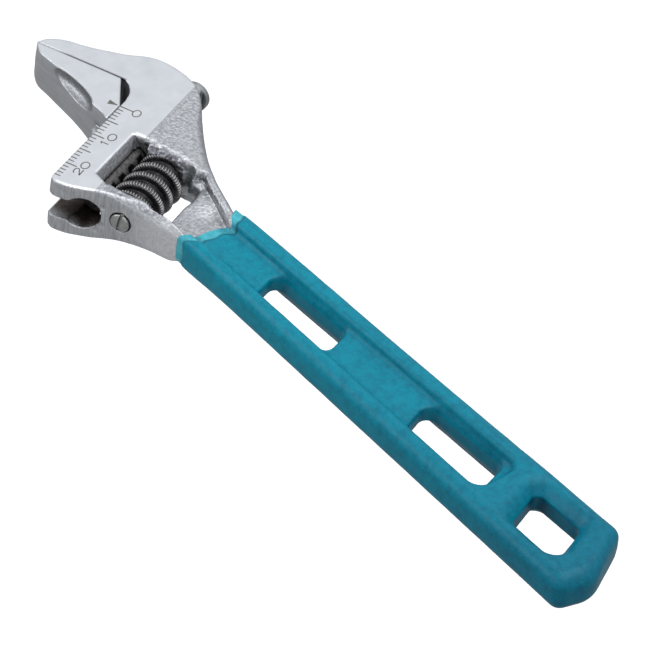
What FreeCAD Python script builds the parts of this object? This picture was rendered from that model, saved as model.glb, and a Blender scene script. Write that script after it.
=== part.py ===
import FreeCAD, Part
import os
import math
from FreeCAD import Vector as V

os.makedirs("parts", exist_ok=True)

# ---------------------------------------------------------------------------
# Adjustable wrench, 160 mm class, 24 mm opening.  Millimetres.
# +X runs from the jaws to the end of the handle, +Z out of the scale face.
# The head is set at HEAD_ANGLE to the handle.  In the head, "u" runs along
# the jaws (towards the tips) and "v" runs along the slide (opening way).
# ---------------------------------------------------------------------------
HEAD_ANGLE = 21.5        # deg, handle axis against the jaws
HEAD_T = 11.6            # thickness of the head
JAW_FACE_V = -7.66       # meeting line of the two jaws when closed
JAW_GAP = 0.06           # clearance between the closed jaws
OPENING = 24.0           # jaw travel
ORG_X = 58.86            # offset of the row origin from the scale zero
ORG_Y = -1.45

RAIL_U = -6.9            # round slide rail: centre line
RAIL_R = 3.05
RAIL_V0 = -18.5          # rail end that leaves the back of the head
RAIL_V1 = 20.2
BORE_CLEAR = 0.08        # radial clearance of the rail in its channel
SLOT_W = 4.6             # width of the key slot between rail and jaw
WEB_W = 4.3              # web of the movable jaw in that slot
TIP_CHAM_U = 16.9        # where the 45 degree chamfer starts on the back face
SCOOP_D = 2.5            # depth of the scoops beside the jaw's centre band
SLIDE_GAP = 0.12         # jaw foot above the slide edge

WORM_U = -14.0           # worm centre line
WORM_R = 5.1             # over the crests
WORM_ROOT = 3.75
WORM_PITCH = 3.3
WORM_V0 = 7.0
WORM_V1 = 19.95
CREST_V = 16.5           # a crest is here on the +Z side
CREST_W = 1.05           # width of the crest
FLANK_W = 1.75           # width of the ridge at the root
AXLE_R = 1.30
AXLE_CLEAR = 0.05
SCREW_HEAD_R = 1.95

HANDLE_Y = -5.55         # handle centre line
GRIP_X0 = 33.4           # where the dipped grip starts
GRIP_X1 = 35.9           # where the second coat starts
COAT = 0.8               # thickness of the grip

MID = -HEAD_T / 2.0
_c = math.cos(math.radians(HEAD_ANGLE))
_s = math.sin(math.radians(HEAD_ANGLE))


def hp(u, v, z=0.0):
    """head coordinates to row coordinates (before the origin shift)"""
    return V(-_c * u + _s * v, -_s * u - _c * v, z)


def hv():
    """unit vector of the opening direction"""
    return V(_s, -_c, 0)


def wire_face(parts):
    """closed planar face from a list of edges"""
    w = Part.Wire(Part.__sortEdges__(parts))
    return Part.Face(w)


def poly(pts):
    return Part.Face(Part.makePolygon(list(pts) + [pts[0]]))


def prism(face, z0, z1):
    f = face.copy()
    f.translate(V(0, 0, z0))
    return f.extrude(V(0, 0, z1 - z0))


def spline(pts):
    c = Part.BSplineCurve()
    c.interpolate(pts)
    return c.toShape()


def seg(a, b):
    return Part.LineSegment(a, b).toShape()


def rpoly(pts, r):
    """polygon with rounded corners; r is one radius or one for each corner"""
    n = len(pts)
    rr = r if isinstance(r, (list, tuple)) else [r] * n
    edges = []
    ends = []
    for i in range(n):
        p, a, b = pts[i], pts[i - 1], pts[(i + 1) % n]
        if rr[i] <= 0:
            ends.append((p, None, p))
            continue
        da = (a - p).normalize()
        db = (b - p).normalize()
        ang = da.getAngle(db)
        t = rr[i] / math.tan(ang / 2.0)
        pa = p + da * t
        pb = p + db * t
        bis = (da + db).normalize()
        c = p + bis * (rr[i] / math.sin(ang / 2.0))
        m = c + (p - c).normalize() * rr[i]
        ends.append((pa, m, pb))
    for i in range(n):
        pa, m, pb = ends[i]
        if m is not None:
            edges.append(Part.Arc(pa, m, pb).toShape())
        nxt = ends[(i + 1) % n][0]
        if (nxt - pb).Length > 1e-4:
            edges.append(seg(pb, nxt))
    return Part.Wire(edges)


def cyl_v(u, r, v0, v1, z=MID):
    """cylinder along the slide direction"""
    p = hp(u, v0, z)
    return Part.makeCylinder(r, v1 - v0, p, hv())


def cone_v(u, r0, r1, v0, v1, z=MID):
    p = hp(u, v0, z)
    return Part.makeCone(r0, r1, v1 - v0, p, hv())


def box_h(u0, u1, v0, v1, z0, z1):
    f = poly([hp(u0, v0), hp(u1, v0), hp(u1, v1), hp(u0, v1)])
    return prism(f, z0, z1)


# --------------------------------------------------------------- head plate
back_pts = [hp(*p) for p in [
    (22.75, -8.35), (21.9, -9.7), (20.4, -10.8), (18.8, -11.5),
    (17.2, -11.9), (15.6, -12.1), (13.7, -12.5), (11.8, -13.0), (10.0, -13.6),
    (8.0, -14.2), (6.3, -14.9), (4.6, -15.8), (2.9, -16.5), (0.9, -16.9),
    (-1.4, -16.8), (-3.9, -16.3), (-6.5, -15.4), (-9.2, -13.8),
    (-11.3, -11.7), (-12.9, -9.4), (-14.4, -7.0), (-17.1, -3.0),
    (-20.0, 0.9), (-22.2, 3.5), (-24.6, 6.3), (-27.2, 8.7), (-29.4, 10.35),
    (-32.7, 12.15)]]
low_pts = [hp(*p) for p in [
    (-28.0, 24.40), (-25.0, 23.45), (-22.5, 22.95), (-20.0, 22.75),
    (-17.5, 22.8), (-15.0, 23.0), (-12.5, 23.2), (-10.5, 23.6), (-8.5, 24.35),
    (-6.5, 25.1), (-4.5, 25.75), (-2.5, 26.05), (-1.0, 26.0), (0.0, 25.3)]]
throat = [hp(0.0, 25.3), hp(0.0, -2.0)]
notch_pts = [hp(*p) for p in [(0.0, -2.0), (0.35, -4.1), (0.95, -5.5),
                              (1.9, -6.7), (3.3, JAW_FACE_V)]]
plate = wire_face([
    spline(back_pts),
    seg(back_pts[-1], low_pts[0]),
    spline(low_pts),
    seg(throat[0], throat[1]),
    spline(notch_pts),
    seg(notch_pts[-1], hp(22.3, JAW_FACE_V)),
    Part.Arc(hp(22.3, JAW_FACE_V), hp(22.72, -7.9), hp(22.75, -8.35)).toShape(),
])
head = prism(plate, -HEAD_T, 0.0)

# both jaw tips are chamfered at 45 degrees on the back
tip_pts = [hp(TIP_CHAM_U - 0.2, -20, -HEAD_T - 0.2), hp(TIP_CHAM_U + 8.0, -20, -HEAD_T + 8.0),
           hp(TIP_CHAM_U + 12.0, -20, -HEAD_T + 8.0), hp(TIP_CHAM_U + 12.0, -20, -HEAD_T - 0.2)]
tip_cut = Part.Face(Part.makePolygon(tip_pts + [tip_pts[0]])).extrude(hv() * 32)
head = head.cut(tip_cut)

# the forged neck falls away from the ground faces towards the handle
SLOPE = 0.105
U_GROUND = -8.6
wedge = Part.Face(Part.makePolygon([
    hp(U_GROUND, -40, 0), hp(U_GROUND - 40, -40, -SLOPE * 40),
    hp(U_GROUND - 40, -40, 5), hp(U_GROUND, -40, 5), hp(U_GROUND, -40, 0)]))
wedge_top = wedge.extrude(hv() * 90)
wedge_bot = wedge_top.mirror(V(0, 0, MID), V(0, 0, 1))
head = head.cut(wedge_top).cut(wedge_bot)


# ------------------------------------------------------------------- handle
def half_w(x):
    return 7.2 + 0.0236 * (x - 50.0)


def line_meet(p, d, q, e):
    """meeting point of the lines p + t*d and q + t*e"""
    den = d.x * e.y - d.y * e.x
    t = ((q.x - p.x) * e.y - (q.y - p.y) * e.x) / den
    return V(p.x + t * d.x, p.y + t * d.y, 0)


def inset_poly(pts, d):
    """convex polygon with each side moved inwards by its own amount"""
    n = len(pts)
    ds = d if isinstance(d, (list, tuple)) else [d] * n
    cx = sum(p.x for p in pts) / n
    cy = sum(p.y for p in pts) / n
    lines = []
    for i in range(n):
        a, b = pts[i], pts[(i + 1) % n]
        t = (b - a).normalize()
        nn = V(-t.y, t.x, 0)
        if nn.dot(V(cx, cy, 0) - a) < 0:
            nn = nn * -1
        lines.append((a + nn * ds[i], t))
    out = []
    for i in range(n):
        p, t = lines[i - 1]
        q, e = lines[i]
        out.append(line_meet(p, t, q, e))
    return out


def handle_outline(inset, x0):
    yc = HANDLE_Y
    pts = [V(x0, yc + half_w(x0), 0), V(x0, yc - half_w(x0), 0),
           V(140.5, yc - half_w(140.5), 0), V(142.35, -7.9, 0),
           V(136.3, yc + half_w(136.3), 0)]
    pts = inset_poly(pts, [0.0] + [inset] * 4)
    return Part.Face(rpoly(pts, [0.0, 0.0, 2.6 - 0.5 * inset, 6.0 - inset,
                                 2.4 - 0.5 * inset]))


SLOT1 = [V(49.9, -2.15, 0), V(69.3, -2.05, 0), V(71.4, -8.95, 0),
         V(52.2, -8.85, 0)]
SLOT2 = [V(91.6, -1.85, 0), V(111.2, -1.45, 0), V(113.7, -9.45, 0),
         V(94.4, -9.25, 0)]
HANG = [V(119.7, -1.15, 0), V(131.2, -0.95, 0), V(134.5, -10.0, 0),
        V(123.0, -9.9, 0)]


def grow(pts, d):
    return inset_poly(pts, -d)


def at_z(w, z):
    w2 = w.copy()
    w2.translate(V(0, 0, z))
    return w2


def pocket(x0, x1, floor, top, grow_d):
    """recess between the rails with sloping walls, cut from the +Z side"""
    def rect(g, xa, xb):
        ya = HANDLE_Y - (3.35 + 0.012 * (xa - 40)) - g
        yb = HANDLE_Y - (3.35 + 0.012 * (xb - 40)) - g
        yc = HANDLE_Y + (3.35 + 0.012 * (xb - 40)) + g
        yd = HANDLE_Y + (3.35 + 0.012 * (xa - 40)) + g
        return rpoly([V(xa - g, ya, 0), V(xb + g, yb, 0), V(xb + g, yc, 0),
                      V(xa - g, yd, 0)], 1.2 + 0.5 * g)
    g0 = grow_d
    lo = at_z(rect(g0, x0, x1), floor)
    hi = at_z(rect(g0 + 1.45, x0, x1), top)
    hi2 = at_z(rect(g0 + 1.45, x0, x1), top + 3.0)
    return Part.makeLoft([lo, hi, hi2], True, True)


def mirror_z(s):
    return s.mirror(V(0, 0, MID), V(0, 0, 1))


TOP_GRIP = -1.75          # grip surface on the rails
FLOOR_GRIP = -4.1         # grip surface of the web


def handle_body(inset, x0):
    d = inset
    top = TOP_GRIP - d
    s = prism(handle_outline(d, x0), 2 * MID - top, top)
    # break the long edges of the rails
    try:
        edges = [e for e in s.Edges if abs(e.BoundBox.ZMin - e.BoundBox.ZMax) < 1e-6
                 and e.BoundBox.XMin > x0 - 1e-3 and e.BoundBox.XMax > x0 + 1]
        s = s.makeFillet(1.5 - 0.5 * d, edges)
    except Exception as ex:
        print("handle fillet", ex)
    floor = FLOOR_GRIP - 0.75 * d
    pk = pocket(x0 - 9.0, 113.2, floor, top, d)
    s = s.cut(pk).cut(mirror_z(pk))
    for pts, r in ((SLOT1, 1.9), (SLOT2, 2.0), (HANG, 2.6)):
        w = rpoly(grow(pts, d), r + 0.4 * d)
        s = s.cut(prism(Part.Face(w), -HEAD_T - 5, 5))
    # funnel down to the hang hole on both sides
    fun = [at_z(rpoly(grow(HANG, d + g), 2.6 + 0.4 * d + 0.5 * g), zz)
           for g, zz in ((-0.02, FLOOR_GRIP - 0.2), (2.1, TOP_GRIP + 0.05), (2.1, TOP_GRIP + 2.0))]
    fun = Part.makeLoft(fun, True, True)
    s = s.cut(fun).cut(mirror_z(fun))
    return s


core = handle_body(COAT, 20.0)
keep = Part.makeBox(140, 60, 40, V(GRIP_X0 - 3.0, -35, -25))
core = core.common(keep)
grip_outer = handle_body(0.0, GRIP_X0)
first_cut = Part.makeBox(60, 60, 40, V(GRIP_X0, -35, -25))
# first coat is thinner: step at the second dip line
thin = handle_body(0.25, GRIP_X0).common(
    Part.makeBox(GRIP_X1 - GRIP_X0 + 0.01, 60, 40, V(GRIP_X0, -35, -25)))
thick = grip_outer.common(Part.makeBox(140, 60, 40, V(GRIP_X1, -35, -25)))
grip_outer = thin.fuse(thick).removeSplitter()

# --------------------------------------------------------------- body frame
neck_keep = Part.makeBox(GRIP_X0 + 41.5, 80, 40, V(-41.5, -45, -25))
neck = head.common(neck_keep)
# neck pocket between the two arms, both faces
np_floor = FLOOR_GRIP - 0.75 * COAT
neck_pts = [V(36.0, -2.1, 0), V(33.6, -1.75, 0), V(27.6, -0.45, 0),
            V(22.6, 1.2, 0), hp(-19.6, 8.2), hp(-19.6, 21.3), V(27.2, -10.0, 0),
            V(31.5, -9.35, 0), V(36.0, -9.1, 0)]
npk = prism(poly(neck_pts), np_floor, 5)
neck = neck.cut(npk).cut(mirror_z(npk))
body = neck.fuse(core).removeSplitter()

# window for the worm, right through
win = rpoly([hp(-7.5, 6.65), hp(-19.4, 6.65), hp(-19.9, 8.2), hp(-22.3, 8.5),
             hp(-22.3, 21.5), hp(-19.6, 21.3), hp(-17.6, 20.35), hp(-7.5, 20.35)],
            [0.7, 0.6, 0.5, 0.5, 0.5, 0.8, 1.2, 1.2])
body = body.cut(prism(Part.Face(win), -HEAD_T - 3, 3))


def wedge_along(pts, vec):
    return Part.Face(Part.makePolygon(list(pts) + [pts[0]])).extrude(vec)


# bevels from the faces of the head down to the window
bev = wedge_along([hp(-6.2, 5.7, 0.5), hp(-6.2, 5.7, 0), hp(-7.55, 5.7, -2.4),
                   hp(-9.0, 5.7, -2.4), hp(-9.0, 5.7, 0.5)], hv() * 13.4)
far = wedge_along([hp(-7.6, 5.1, 0.5), hp(-7.6, 5.1, -0.05), hp(-7.6, 6.8, -1.9),
                   hp(-7.6, 7.6, -1.9), hp(-7.6, 7.6, 0.5)],
                  hp(-19.2, 0) - hp(-7.6, 0))
for w in (bev, far):
    body = body.cut(w).cut(mirror_z(w))
# round slide channel with its key slot, open at both ends
body = body.cut(cyl_v(RAIL_U, RAIL_R + BORE_CLEAR, -30, 40))
body = body.cut(box_h(RAIL_U, 4.0, -2.6, 40, MID - SLOT_W / 2, MID + SLOT_W / 2))
# flare where the channel opens at the lip
body = body.cut(cone_v(RAIL_U, RAIL_R + BORE_CLEAR, RAIL_R + 1.4, 22.8, 25.2))
# throat relief over the whole thickness is part of the plate outline;
# the jaw web needs room behind the meeting line
body = body.cut(box_h(-0.5, 3.2, -7.4, -2.5, MID - SLOT_W / 2, MID + SLOT_W / 2))
body = body.cut(box_h(-4.5, 1.2, -7.4, -2.5, MID - SLOT_W / 2, MID + SLOT_W / 2))
# axle bore: clearance on the lip side, blind tapped end on the other
body = body.cut(cyl_v(WORM_U, AXLE_R, 3.2, 24.6))
body = body.cut(cyl_v(WORM_U, SCREW_HEAD_R, 21.9, 30))
body = body.removeSplitter()
if len(body.Solids) > 1:
    print("body solids", [round(s.Volume, 1) for s in body.Solids])
    body = max(body.Solids, key=lambda s: s.Volume)
else:
    body = body.Solids[0]

# ------------------------------------------------------------ movable jaw
jf = JAW_FACE_V + JAW_GAP
flank_full = [(22.4, -7.0), (21.7, -5.6), (20.4, -4.6), (18.6, -3.95),
              (16.8, -3.3), (15.0, -2.55), (13.3, -1.7), (11.6, -0.8),
              (10.0, 0.1), (8.5, 0.9), (7.1, 1.6), (5.8, 2.25), (4.3, 2.9),
              (2.6, 3.6), (SLIDE_GAP, 4.6)]
fl = [hp(*p) for p in flank_full]
jaw_face = wire_face([
    seg(hp(4.05, jf), hp(22.35, jf)),
    Part.Arc(hp(22.35, jf), hp(22.55, jf + 0.2), hp(22.4, -7.0)).toShape(),
    spline(fl),
    seg(fl[-1], hp(SLIDE_GAP, -0.35)),
    seg(hp(SLIDE_GAP, -0.35), hp(4.05, jf)),
])
jaw = prism(jaw_face, -HEAD_T, 0)
# lens-shaped scoops on both sides of the outer flank
lens_in = [hp(*p) for p in [(19.3, -3.6), (17.3, -3.35), (15.0, -3.35),
                            (12.4, -2.65), (9.6, -1.55), (7.0, -0.1),
                            (5.2, 1.5), (3.9, 3.3)]]
lens = wire_face([spline(lens_in), seg(lens_in[-1], hp(3.9, 8.0)),
                  seg(hp(3.9, 8.0), hp(19.3, 3.0)), seg(hp(19.3, 3.0), lens_in[0])])
sc = prism(lens, -SCOOP_D, 1.0)
jaw = jaw.cut(sc).cut(mirror_z(sc))
# the back of the jaw is relieved along the flank and runs out at the tip
rel_hi = [(23.6, -6.4), (22.4, -6.0), (20.4, -4.6), (18.6, -3.95), (15.0, -2.55),
          (11.6, -0.8), (8.5, 0.9), (5.8, 2.25), (4.0, 3.1), (4.0, 9.0), (23.6, 3.0)]
rel_lo = [(23.6, -8.4), (21.4, -8.4), (19.3, -7.3), (17.0, -6.5), (13.9, -4.8),
          (10.8, -3.2), (8.2, -1.9), (6.1, -0.3), (4.0, 2.0), (4.0, 9.0), (23.6, 3.0)]
Z_HI, Z_LO = MID - 2.2, -HEAD_T - 0.2
rel = Part.makeLoft([Part.makePolygon([hp(q[0], q[1], zz) for q in ps] + [hp(ps[0][0], ps[0][1], zz)])
                     for ps, zz in ((rel_hi, Z_HI), (rel_lo, Z_LO))], True, True)
jaw = jaw.cut(rel).cut(tip_cut)
# web through the key slot, with the gusset under the flank
web_pts = [hp(3.0, -6.2), hp(3.0, 4.9), hp(1.8, 6.6), hp(0.7, 9.0),
           hp(-0.6, 12.5), hp(RAIL_U, 12.5), hp(RAIL_U, -6.2)]
web_in = [hp(3.0, 2.0), hp(3.0, 4.9), hp(1.8, 6.6), hp(0.7, 9.0),
          hp(-0.6, 12.5), hp(RAIL_U, 12.5), hp(RAIL_U, -1.9),
          hp(SLIDE_GAP, -1.9), hp(3.0, -4.6)]
web = prism(poly(web_in), MID - WEB_W / 2, MID + WEB_W / 2)
rail = cyl_v(RAIL_U, RAIL_R, RAIL_V0, RAIL_V1)
try:
    ends = [e for e in rail.Edges if isinstance(e.Curve, Part.Circle)]
    rail = rail.makeChamfer(0.45, ends)
except Exception as ex:
    print("rail chamfer", ex)
# rack grooves for the worm, slanted by its lead angle
lead = math.atan(WORM_PITCH / (2 * math.pi * 4.5))
groove_v0 = CREST_V + WORM_PITCH / 4.0
ROOT_U = WORM_U + WORM_R + 0.25
grooves = []
k = -12
while True:
    vc = groove_v0 + k * WORM_PITCH
    k += 1
    if vc < RAIL_V0 + 1.6:
        continue
    if vc > RAIL_V1 + 0.8:
        break
    # trapezoid in the (v, u) plane, extruded across the rail
    w0, w1 = 0.86, 1.42
    prof = [hp(ROOT_U, vc - w0, 0), hp(ROOT_U, vc + w0, 0),
            hp(WORM_U + 3.2, vc + w1, 0), hp(WORM_U + 3.2, vc - w1, 0)]
    g = poly(prof)
    g.translate(V(0, 0, MID - 5))
    g = g.extrude(V(0, 0, 10))
    g.rotate(hp(ROOT_U, vc, MID), hp(1, 0, 0) - hp(0, 0, 0), math.degrees(lead))
    grooves.append(g)
for g in grooves:
    rail = rail.cut(g)
jaw = jaw.fuse(web).fuse(rail).removeSplitter()
if len(jaw.Solids) > 1:
    print("jaw solids", [round(s.Volume, 1) for s in jaw.Solids])
    jaw = max(jaw.Solids, key=lambda s: s.Volume)
else:
    jaw = jaw.Solids[0]

# -------------------------------------------------------------------- worm
# built on the Z axis, then laid along the slide direction
WORM_L = WORM_V1 - WORM_V0
helix = Part.makeHelix(WORM_PITCH, WORM_L + 3 * WORM_PITCH, WORM_ROOT)
prof = Part.makePolygon([V(WORM_ROOT - 0.3, 0, -FLANK_W / 2), V(WORM_R, 0, -CREST_W / 2),
                         V(WORM_R, 0, CREST_W / 2), V(WORM_ROOT - 0.3, 0, FLANK_W / 2),
                         V(WORM_ROOT - 0.3, 0, -FLANK_W / 2)])
mk = Part.BRepOffsetAPI.MakePipeShell(Part.Wire(helix))
mk.setFrenetMode(True)
mk.add(Part.Wire(prof))
mk.build()
mk.makeSolid()
thread = mk.shape()
core_w = Part.makeCylinder(WORM_ROOT, WORM_L)
thread.translate(V(0, 0, -1.5 * WORM_PITCH))
lim = Part.makeCylinder(WORM_R + 1, WORM_L)
thread = thread.common(lim)
worm = core_w.fuse(thread)
worm = worm.cut(Part.makeCylinder(AXLE_R + AXLE_CLEAR, WORM_L + 2, V(0, 0, -1)))
SPRING_R = 2.35
SPRING_L = 4.2
worm = worm.cut(Part.makeCylinder(SPRING_R + 0.2, SPRING_L + 0.1, V(0, 0, -0.1)))
# thread crest on the local +X side at z = 1.5 pitches minus the shift
# local crest height at angle phi: z = pitch * (phi/360) + n*pitch - 1.5*pitch
# place: local Z -> opening direction, local X -> row +Z at CREST_V
zax = hv()
xax = V(0, 0, 1)
yax = zax.cross(xax)
p0 = hp(WORM_U, WORM_V0, MID)
place = FreeCAD.Matrix(xax.x, yax.x, zax.x, p0.x,
                       xax.y, yax.y, zax.y, p0.y,
                       xax.z, yax.z, zax.z, p0.z,
                       0, 0, 0, 1)
# turn so that a crest meets CREST_V on the +Z side
need = (CREST_V - WORM_V0) / WORM_PITCH          # turns from the start face
frac = (need + 1.5) % 1.0
worm.rotate(V(0, 0, 0), V(0, 0, 1), -360.0 * frac)
worm = worm.transformed(place)
worm = worm.removeSplitter()
worm = worm.Solids[0] if len(worm.Solids) == 1 else max(worm.Solids, key=lambda s: s.Volume)

# ------------------------------------------------------- axle screw, spring
screw = cyl_v(WORM_U, AXLE_R, 3.4, 24.2)
screw = screw.fuse(cyl_v(WORM_U, SCREW_HEAD_R - 0.06, 22.0, 23.75)).removeSplitter()
screw = screw.cut(box_h(WORM_U - 0.3, WORM_U + 0.3, 23.15, 25.5, MID - 4, MID + 4))
screw = screw.Solids[0]

wire_r = 0.25
turns = 6.0
sp_h = SPRING_L - 2 * wire_r - 0.1
sp_mean = 1.95
sh = Part.makeHelix(sp_h / turns, sp_h, sp_mean)
spf = Part.Wire(Part.makeCircle(wire_r, V(sp_mean, 0, 0), V(0, 1, 0.09)))
mk = Part.BRepOffsetAPI.MakePipeShell(Part.Wire(sh))
mk.setFrenetMode(True)
mk.add(spf)
mk.build()
mk.makeSolid()
spring = mk.shape()
spring.translate(V(0, 0, wire_r))
ps = hp(WORM_U, WORM_V0 - 0.1, MID)
place_s = FreeCAD.Matrix(xax.x, yax.x, zax.x, ps.x,
                         xax.y, yax.y, zax.y, ps.y,
                         xax.z, yax.z, zax.z, ps.z,
                         0, 0, 0, 1)
spring = spring.transformed(place_s)
spring = spring.Solids[0]

# --------------------------------------------------------------------- grip
grip = grip_outer.cut(body)
grip = grip.removeSplitter()
if len(grip.Solids) > 1:
    print("grip solids", [round(s.Volume, 2) for s in grip.Solids])
    grip = max(grip.Solids, key=lambda s: s.Volume)
else:
    grip = grip.Solids[0]

nodes = {
    "frame_body": body,
    "movable_jaw": jaw,
    "worm": worm,
    "worm_axle_screw": screw,
    "worm_spring": spring,
    "handle_grip": grip,
}
bb = FreeCAD.BoundBox()
for name, s in nodes.items():
    s.translate(V(-ORG_X, -ORG_Y, HEAD_T))
    bb.add(s.optimalBoundingBox())
    print(name, "valid", s.isValid(), "solids", len(s.Solids), "vol %.1f" % s.Volume,
          "bb", [round(x, 2) for x in (s.BoundBox.XMin, s.BoundBox.XMax, s.BoundBox.YMin,
                                       s.BoundBox.YMax, s.BoundBox.ZMin, s.BoundBox.ZMax)])
    s.exportStep("parts/%s.step" % name)
print("all", [round(x, 3) for x in (bb.XMin, bb.XMax, bb.YMin, bb.YMax, bb.ZMin, bb.ZMax)])
print("worm axis point", hp(WORM_U, 14.0, MID) - V(ORG_X, ORG_Y, -HEAD_T), "dir", hv())
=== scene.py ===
import bpy
import math
import numpy as np
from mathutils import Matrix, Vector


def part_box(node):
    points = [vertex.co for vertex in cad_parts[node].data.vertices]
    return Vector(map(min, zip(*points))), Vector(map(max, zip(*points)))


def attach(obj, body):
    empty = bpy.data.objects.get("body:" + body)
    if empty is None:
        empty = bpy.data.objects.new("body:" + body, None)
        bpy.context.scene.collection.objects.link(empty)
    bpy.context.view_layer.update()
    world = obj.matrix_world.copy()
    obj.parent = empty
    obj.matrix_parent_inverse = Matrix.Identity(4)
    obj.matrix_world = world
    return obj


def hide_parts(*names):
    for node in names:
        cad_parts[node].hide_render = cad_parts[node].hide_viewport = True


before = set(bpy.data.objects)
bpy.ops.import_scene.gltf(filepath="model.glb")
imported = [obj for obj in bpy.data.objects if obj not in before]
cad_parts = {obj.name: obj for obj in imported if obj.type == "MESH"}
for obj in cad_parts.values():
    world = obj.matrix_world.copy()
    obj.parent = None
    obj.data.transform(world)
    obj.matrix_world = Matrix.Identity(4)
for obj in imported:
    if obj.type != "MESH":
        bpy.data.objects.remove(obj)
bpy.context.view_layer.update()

# ---------------------------------------------------------------------------
# Coordinates.  Work is done in millimetres in "head" coordinates:
#   u along the jaws towards the tips, v along the slide (opening way),
#   z down from the scale face (0) to the back face (-T).
# The head body's box in the frame gives the place of that system.
# ---------------------------------------------------------------------------
lo_b, hi_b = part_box("frame_body")
T = (hi_b[2] - lo_b[2]) * 1000.0
ZTOP = hi_b[2] * 1000.0
MID = -T / 2.0
ANG = math.radians(21.5)
CA, SA = math.cos(ANG), math.sin(ANG)
OX = -(lo_b[0] * 1000.0) - 24.22      # scale zero to the row origin
OY = -1.57


def uv_to_xy(u, v):
    return -CA * u + SA * v, -SA * u - CA * v


def xy_to_uv(x, y):
    return -CA * x - SA * y, SA * x - CA * y


def place_head(p):
    """(u, v, z) mm -> row metres"""
    x, y = uv_to_xy(p[:, 0], p[:, 1])
    return np.stack([(x - OX) / 1000.0, (y - OY) / 1000.0, (p[:, 2] + ZTOP) / 1000.0], axis=1)


def place_row(p):
    """(X, Y, z) mm, handle axes with the scale zero as origin -> row metres"""
    return np.stack([(p[:, 0] - OX) / 1000.0, (p[:, 1] - OY) / 1000.0, (p[:, 2] + ZTOP) / 1000.0], axis=1)


# ------------------------------------------------------------------ sdf kit
def smin(a, b, k):
    h = np.maximum(k - np.abs(a - b), 0.0) / k
    return np.minimum(a, b) - h * h * k * 0.25


def smax(a, b, k):
    return -smin(-a, -b, k)


def sstep(x, a, b):
    t = np.clip((x - a) / (b - a), 0.0, 1.0)
    return t * t * (3 - 2 * t)


def poly_sdf(px, py, pts):
    pts = np.asarray(pts, dtype=np.float64)
    d2 = np.full(px.shape, 1e18)
    ins = np.zeros(px.shape, dtype=bool)
    n = len(pts)
    for i in range(n):
        ax, ay = pts[i]
        bx, by = pts[(i + 1) % n]
        ex, ey = bx - ax, by - ay
        L = ex * ex + ey * ey
        if L < 1e-12:
            continue
        wx, wy = px - ax, py - ay
        t = np.clip((wx * ex + wy * ey) / L, 0, 1)
        dx, dy = wx - t * ex, wy - t * ey
        d2 = np.minimum(d2, dx * dx + dy * dy)
        if abs(ey) > 1e-12:
            c = ((ay > py) != (by > py)) & (px < ex * (py - ay) / ey + ax)
            ins ^= c
    d = np.sqrt(d2)
    return np.where(ins, -d, d)


def catmull(pts, sub=6, closed=False):
    p = np.asarray(pts, dtype=np.float64)
    n = len(p)
    out = []
    rng = range(n if closed else n - 1)
    for i in rng:
        if closed:
            p0, p1, p2, p3 = p[(i - 1) % n], p[i], p[(i + 1) % n], p[(i + 2) % n]
        else:
            p1, p2 = p[i], p[i + 1]
            p0 = p[i - 1] if i > 0 else 2 * p1 - p2
            p3 = p[i + 2] if i + 2 < n else 2 * p2 - p1
        # centripetal parametrisation keeps uneven points smooth
        t0 = 0.0
        t1 = t0 + max(np.linalg.norm(p1 - p0), 1e-6) ** 0.5
        t2 = t1 + max(np.linalg.norm(p2 - p1), 1e-6) ** 0.5
        t3 = t2 + max(np.linalg.norm(p3 - p2), 1e-6) ** 0.5
        for k in range(sub):
            t = t1 + (t2 - t1) * k / sub
            a1 = (t1 - t) / (t1 - t0) * p0 + (t - t0) / (t1 - t0) * p1
            a2 = (t2 - t) / (t2 - t1) * p1 + (t - t1) / (t2 - t1) * p2
            a3 = (t3 - t) / (t3 - t2) * p2 + (t - t2) / (t3 - t2) * p3
            b1 = (t2 - t) / (t2 - t0) * a1 + (t - t0) / (t2 - t0) * a2
            b2 = (t3 - t) / (t3 - t1) * a2 + (t - t1) / (t3 - t1) * a3
            out.append((t2 - t) / (t2 - t1) * b1 + (t - t1) / (t2 - t1) * b2)
    if not closed:
        out.append(p[-1])
    return [tuple(q) for q in out]


def rounded_poly(pts, r, seg=7):
    """polygon with rounded corners as a list of points"""
    n = len(pts)
    rr = r if isinstance(r, (list, tuple)) else [r] * n
    out = []
    for i in range(n):
        p = np.array(pts[i], float)
        a = np.array(pts[i - 1], float)
        b = np.array(pts[(i + 1) % n], float)
        da = (a - p) / np.linalg.norm(a - p)
        db = (b - p) / np.linalg.norm(b - p)
        if rr[i] <= 0:
            out.append(tuple(p))
            continue
        ang = math.acos(max(-1, min(1, float(da @ db))))
        t = rr[i] / math.tan(ang / 2)
        bis = (da + db) / np.linalg.norm(da + db)
        c = p + bis * (rr[i] / math.sin(ang / 2))
        pa, pb = p + da * t, p + db * t
        a0 = math.atan2(*(pa - c)[::-1])
        a1 = math.atan2(*(pb - c)[::-1])
        d = (a1 - a0 + math.pi) % (2 * math.pi) - math.pi
        for k in range(seg + 1):
            th = a0 + d * k / seg
            out.append((c[0] + rr[i] * math.cos(th), c[1] + rr[i] * math.sin(th)))
    return out


_rs = np.random.RandomState(7)
_LAT = _rs.rand(48, 48, 48).astype(np.float32) * 2 - 1


def noise3(p, freq, off=0.0):
    q = p * freq + off
    i = np.floor(q).astype(np.int64)
    f = q - i
    f = f * f * (3 - 2 * f)
    r = 0.0
    for a in (0, 1):
        for b in (0, 1):
            for c in (0, 1):
                w = (f[:, 0] if a else 1 - f[:, 0]) * (f[:, 1] if b else 1 - f[:, 1]) * (f[:, 2] if c else 1 - f[:, 2])
                r = r + w * _LAT[(i[:, 0] + a) % 48, (i[:, 1] + b) % 48, (i[:, 2] + c) % 48]
    return r


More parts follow.
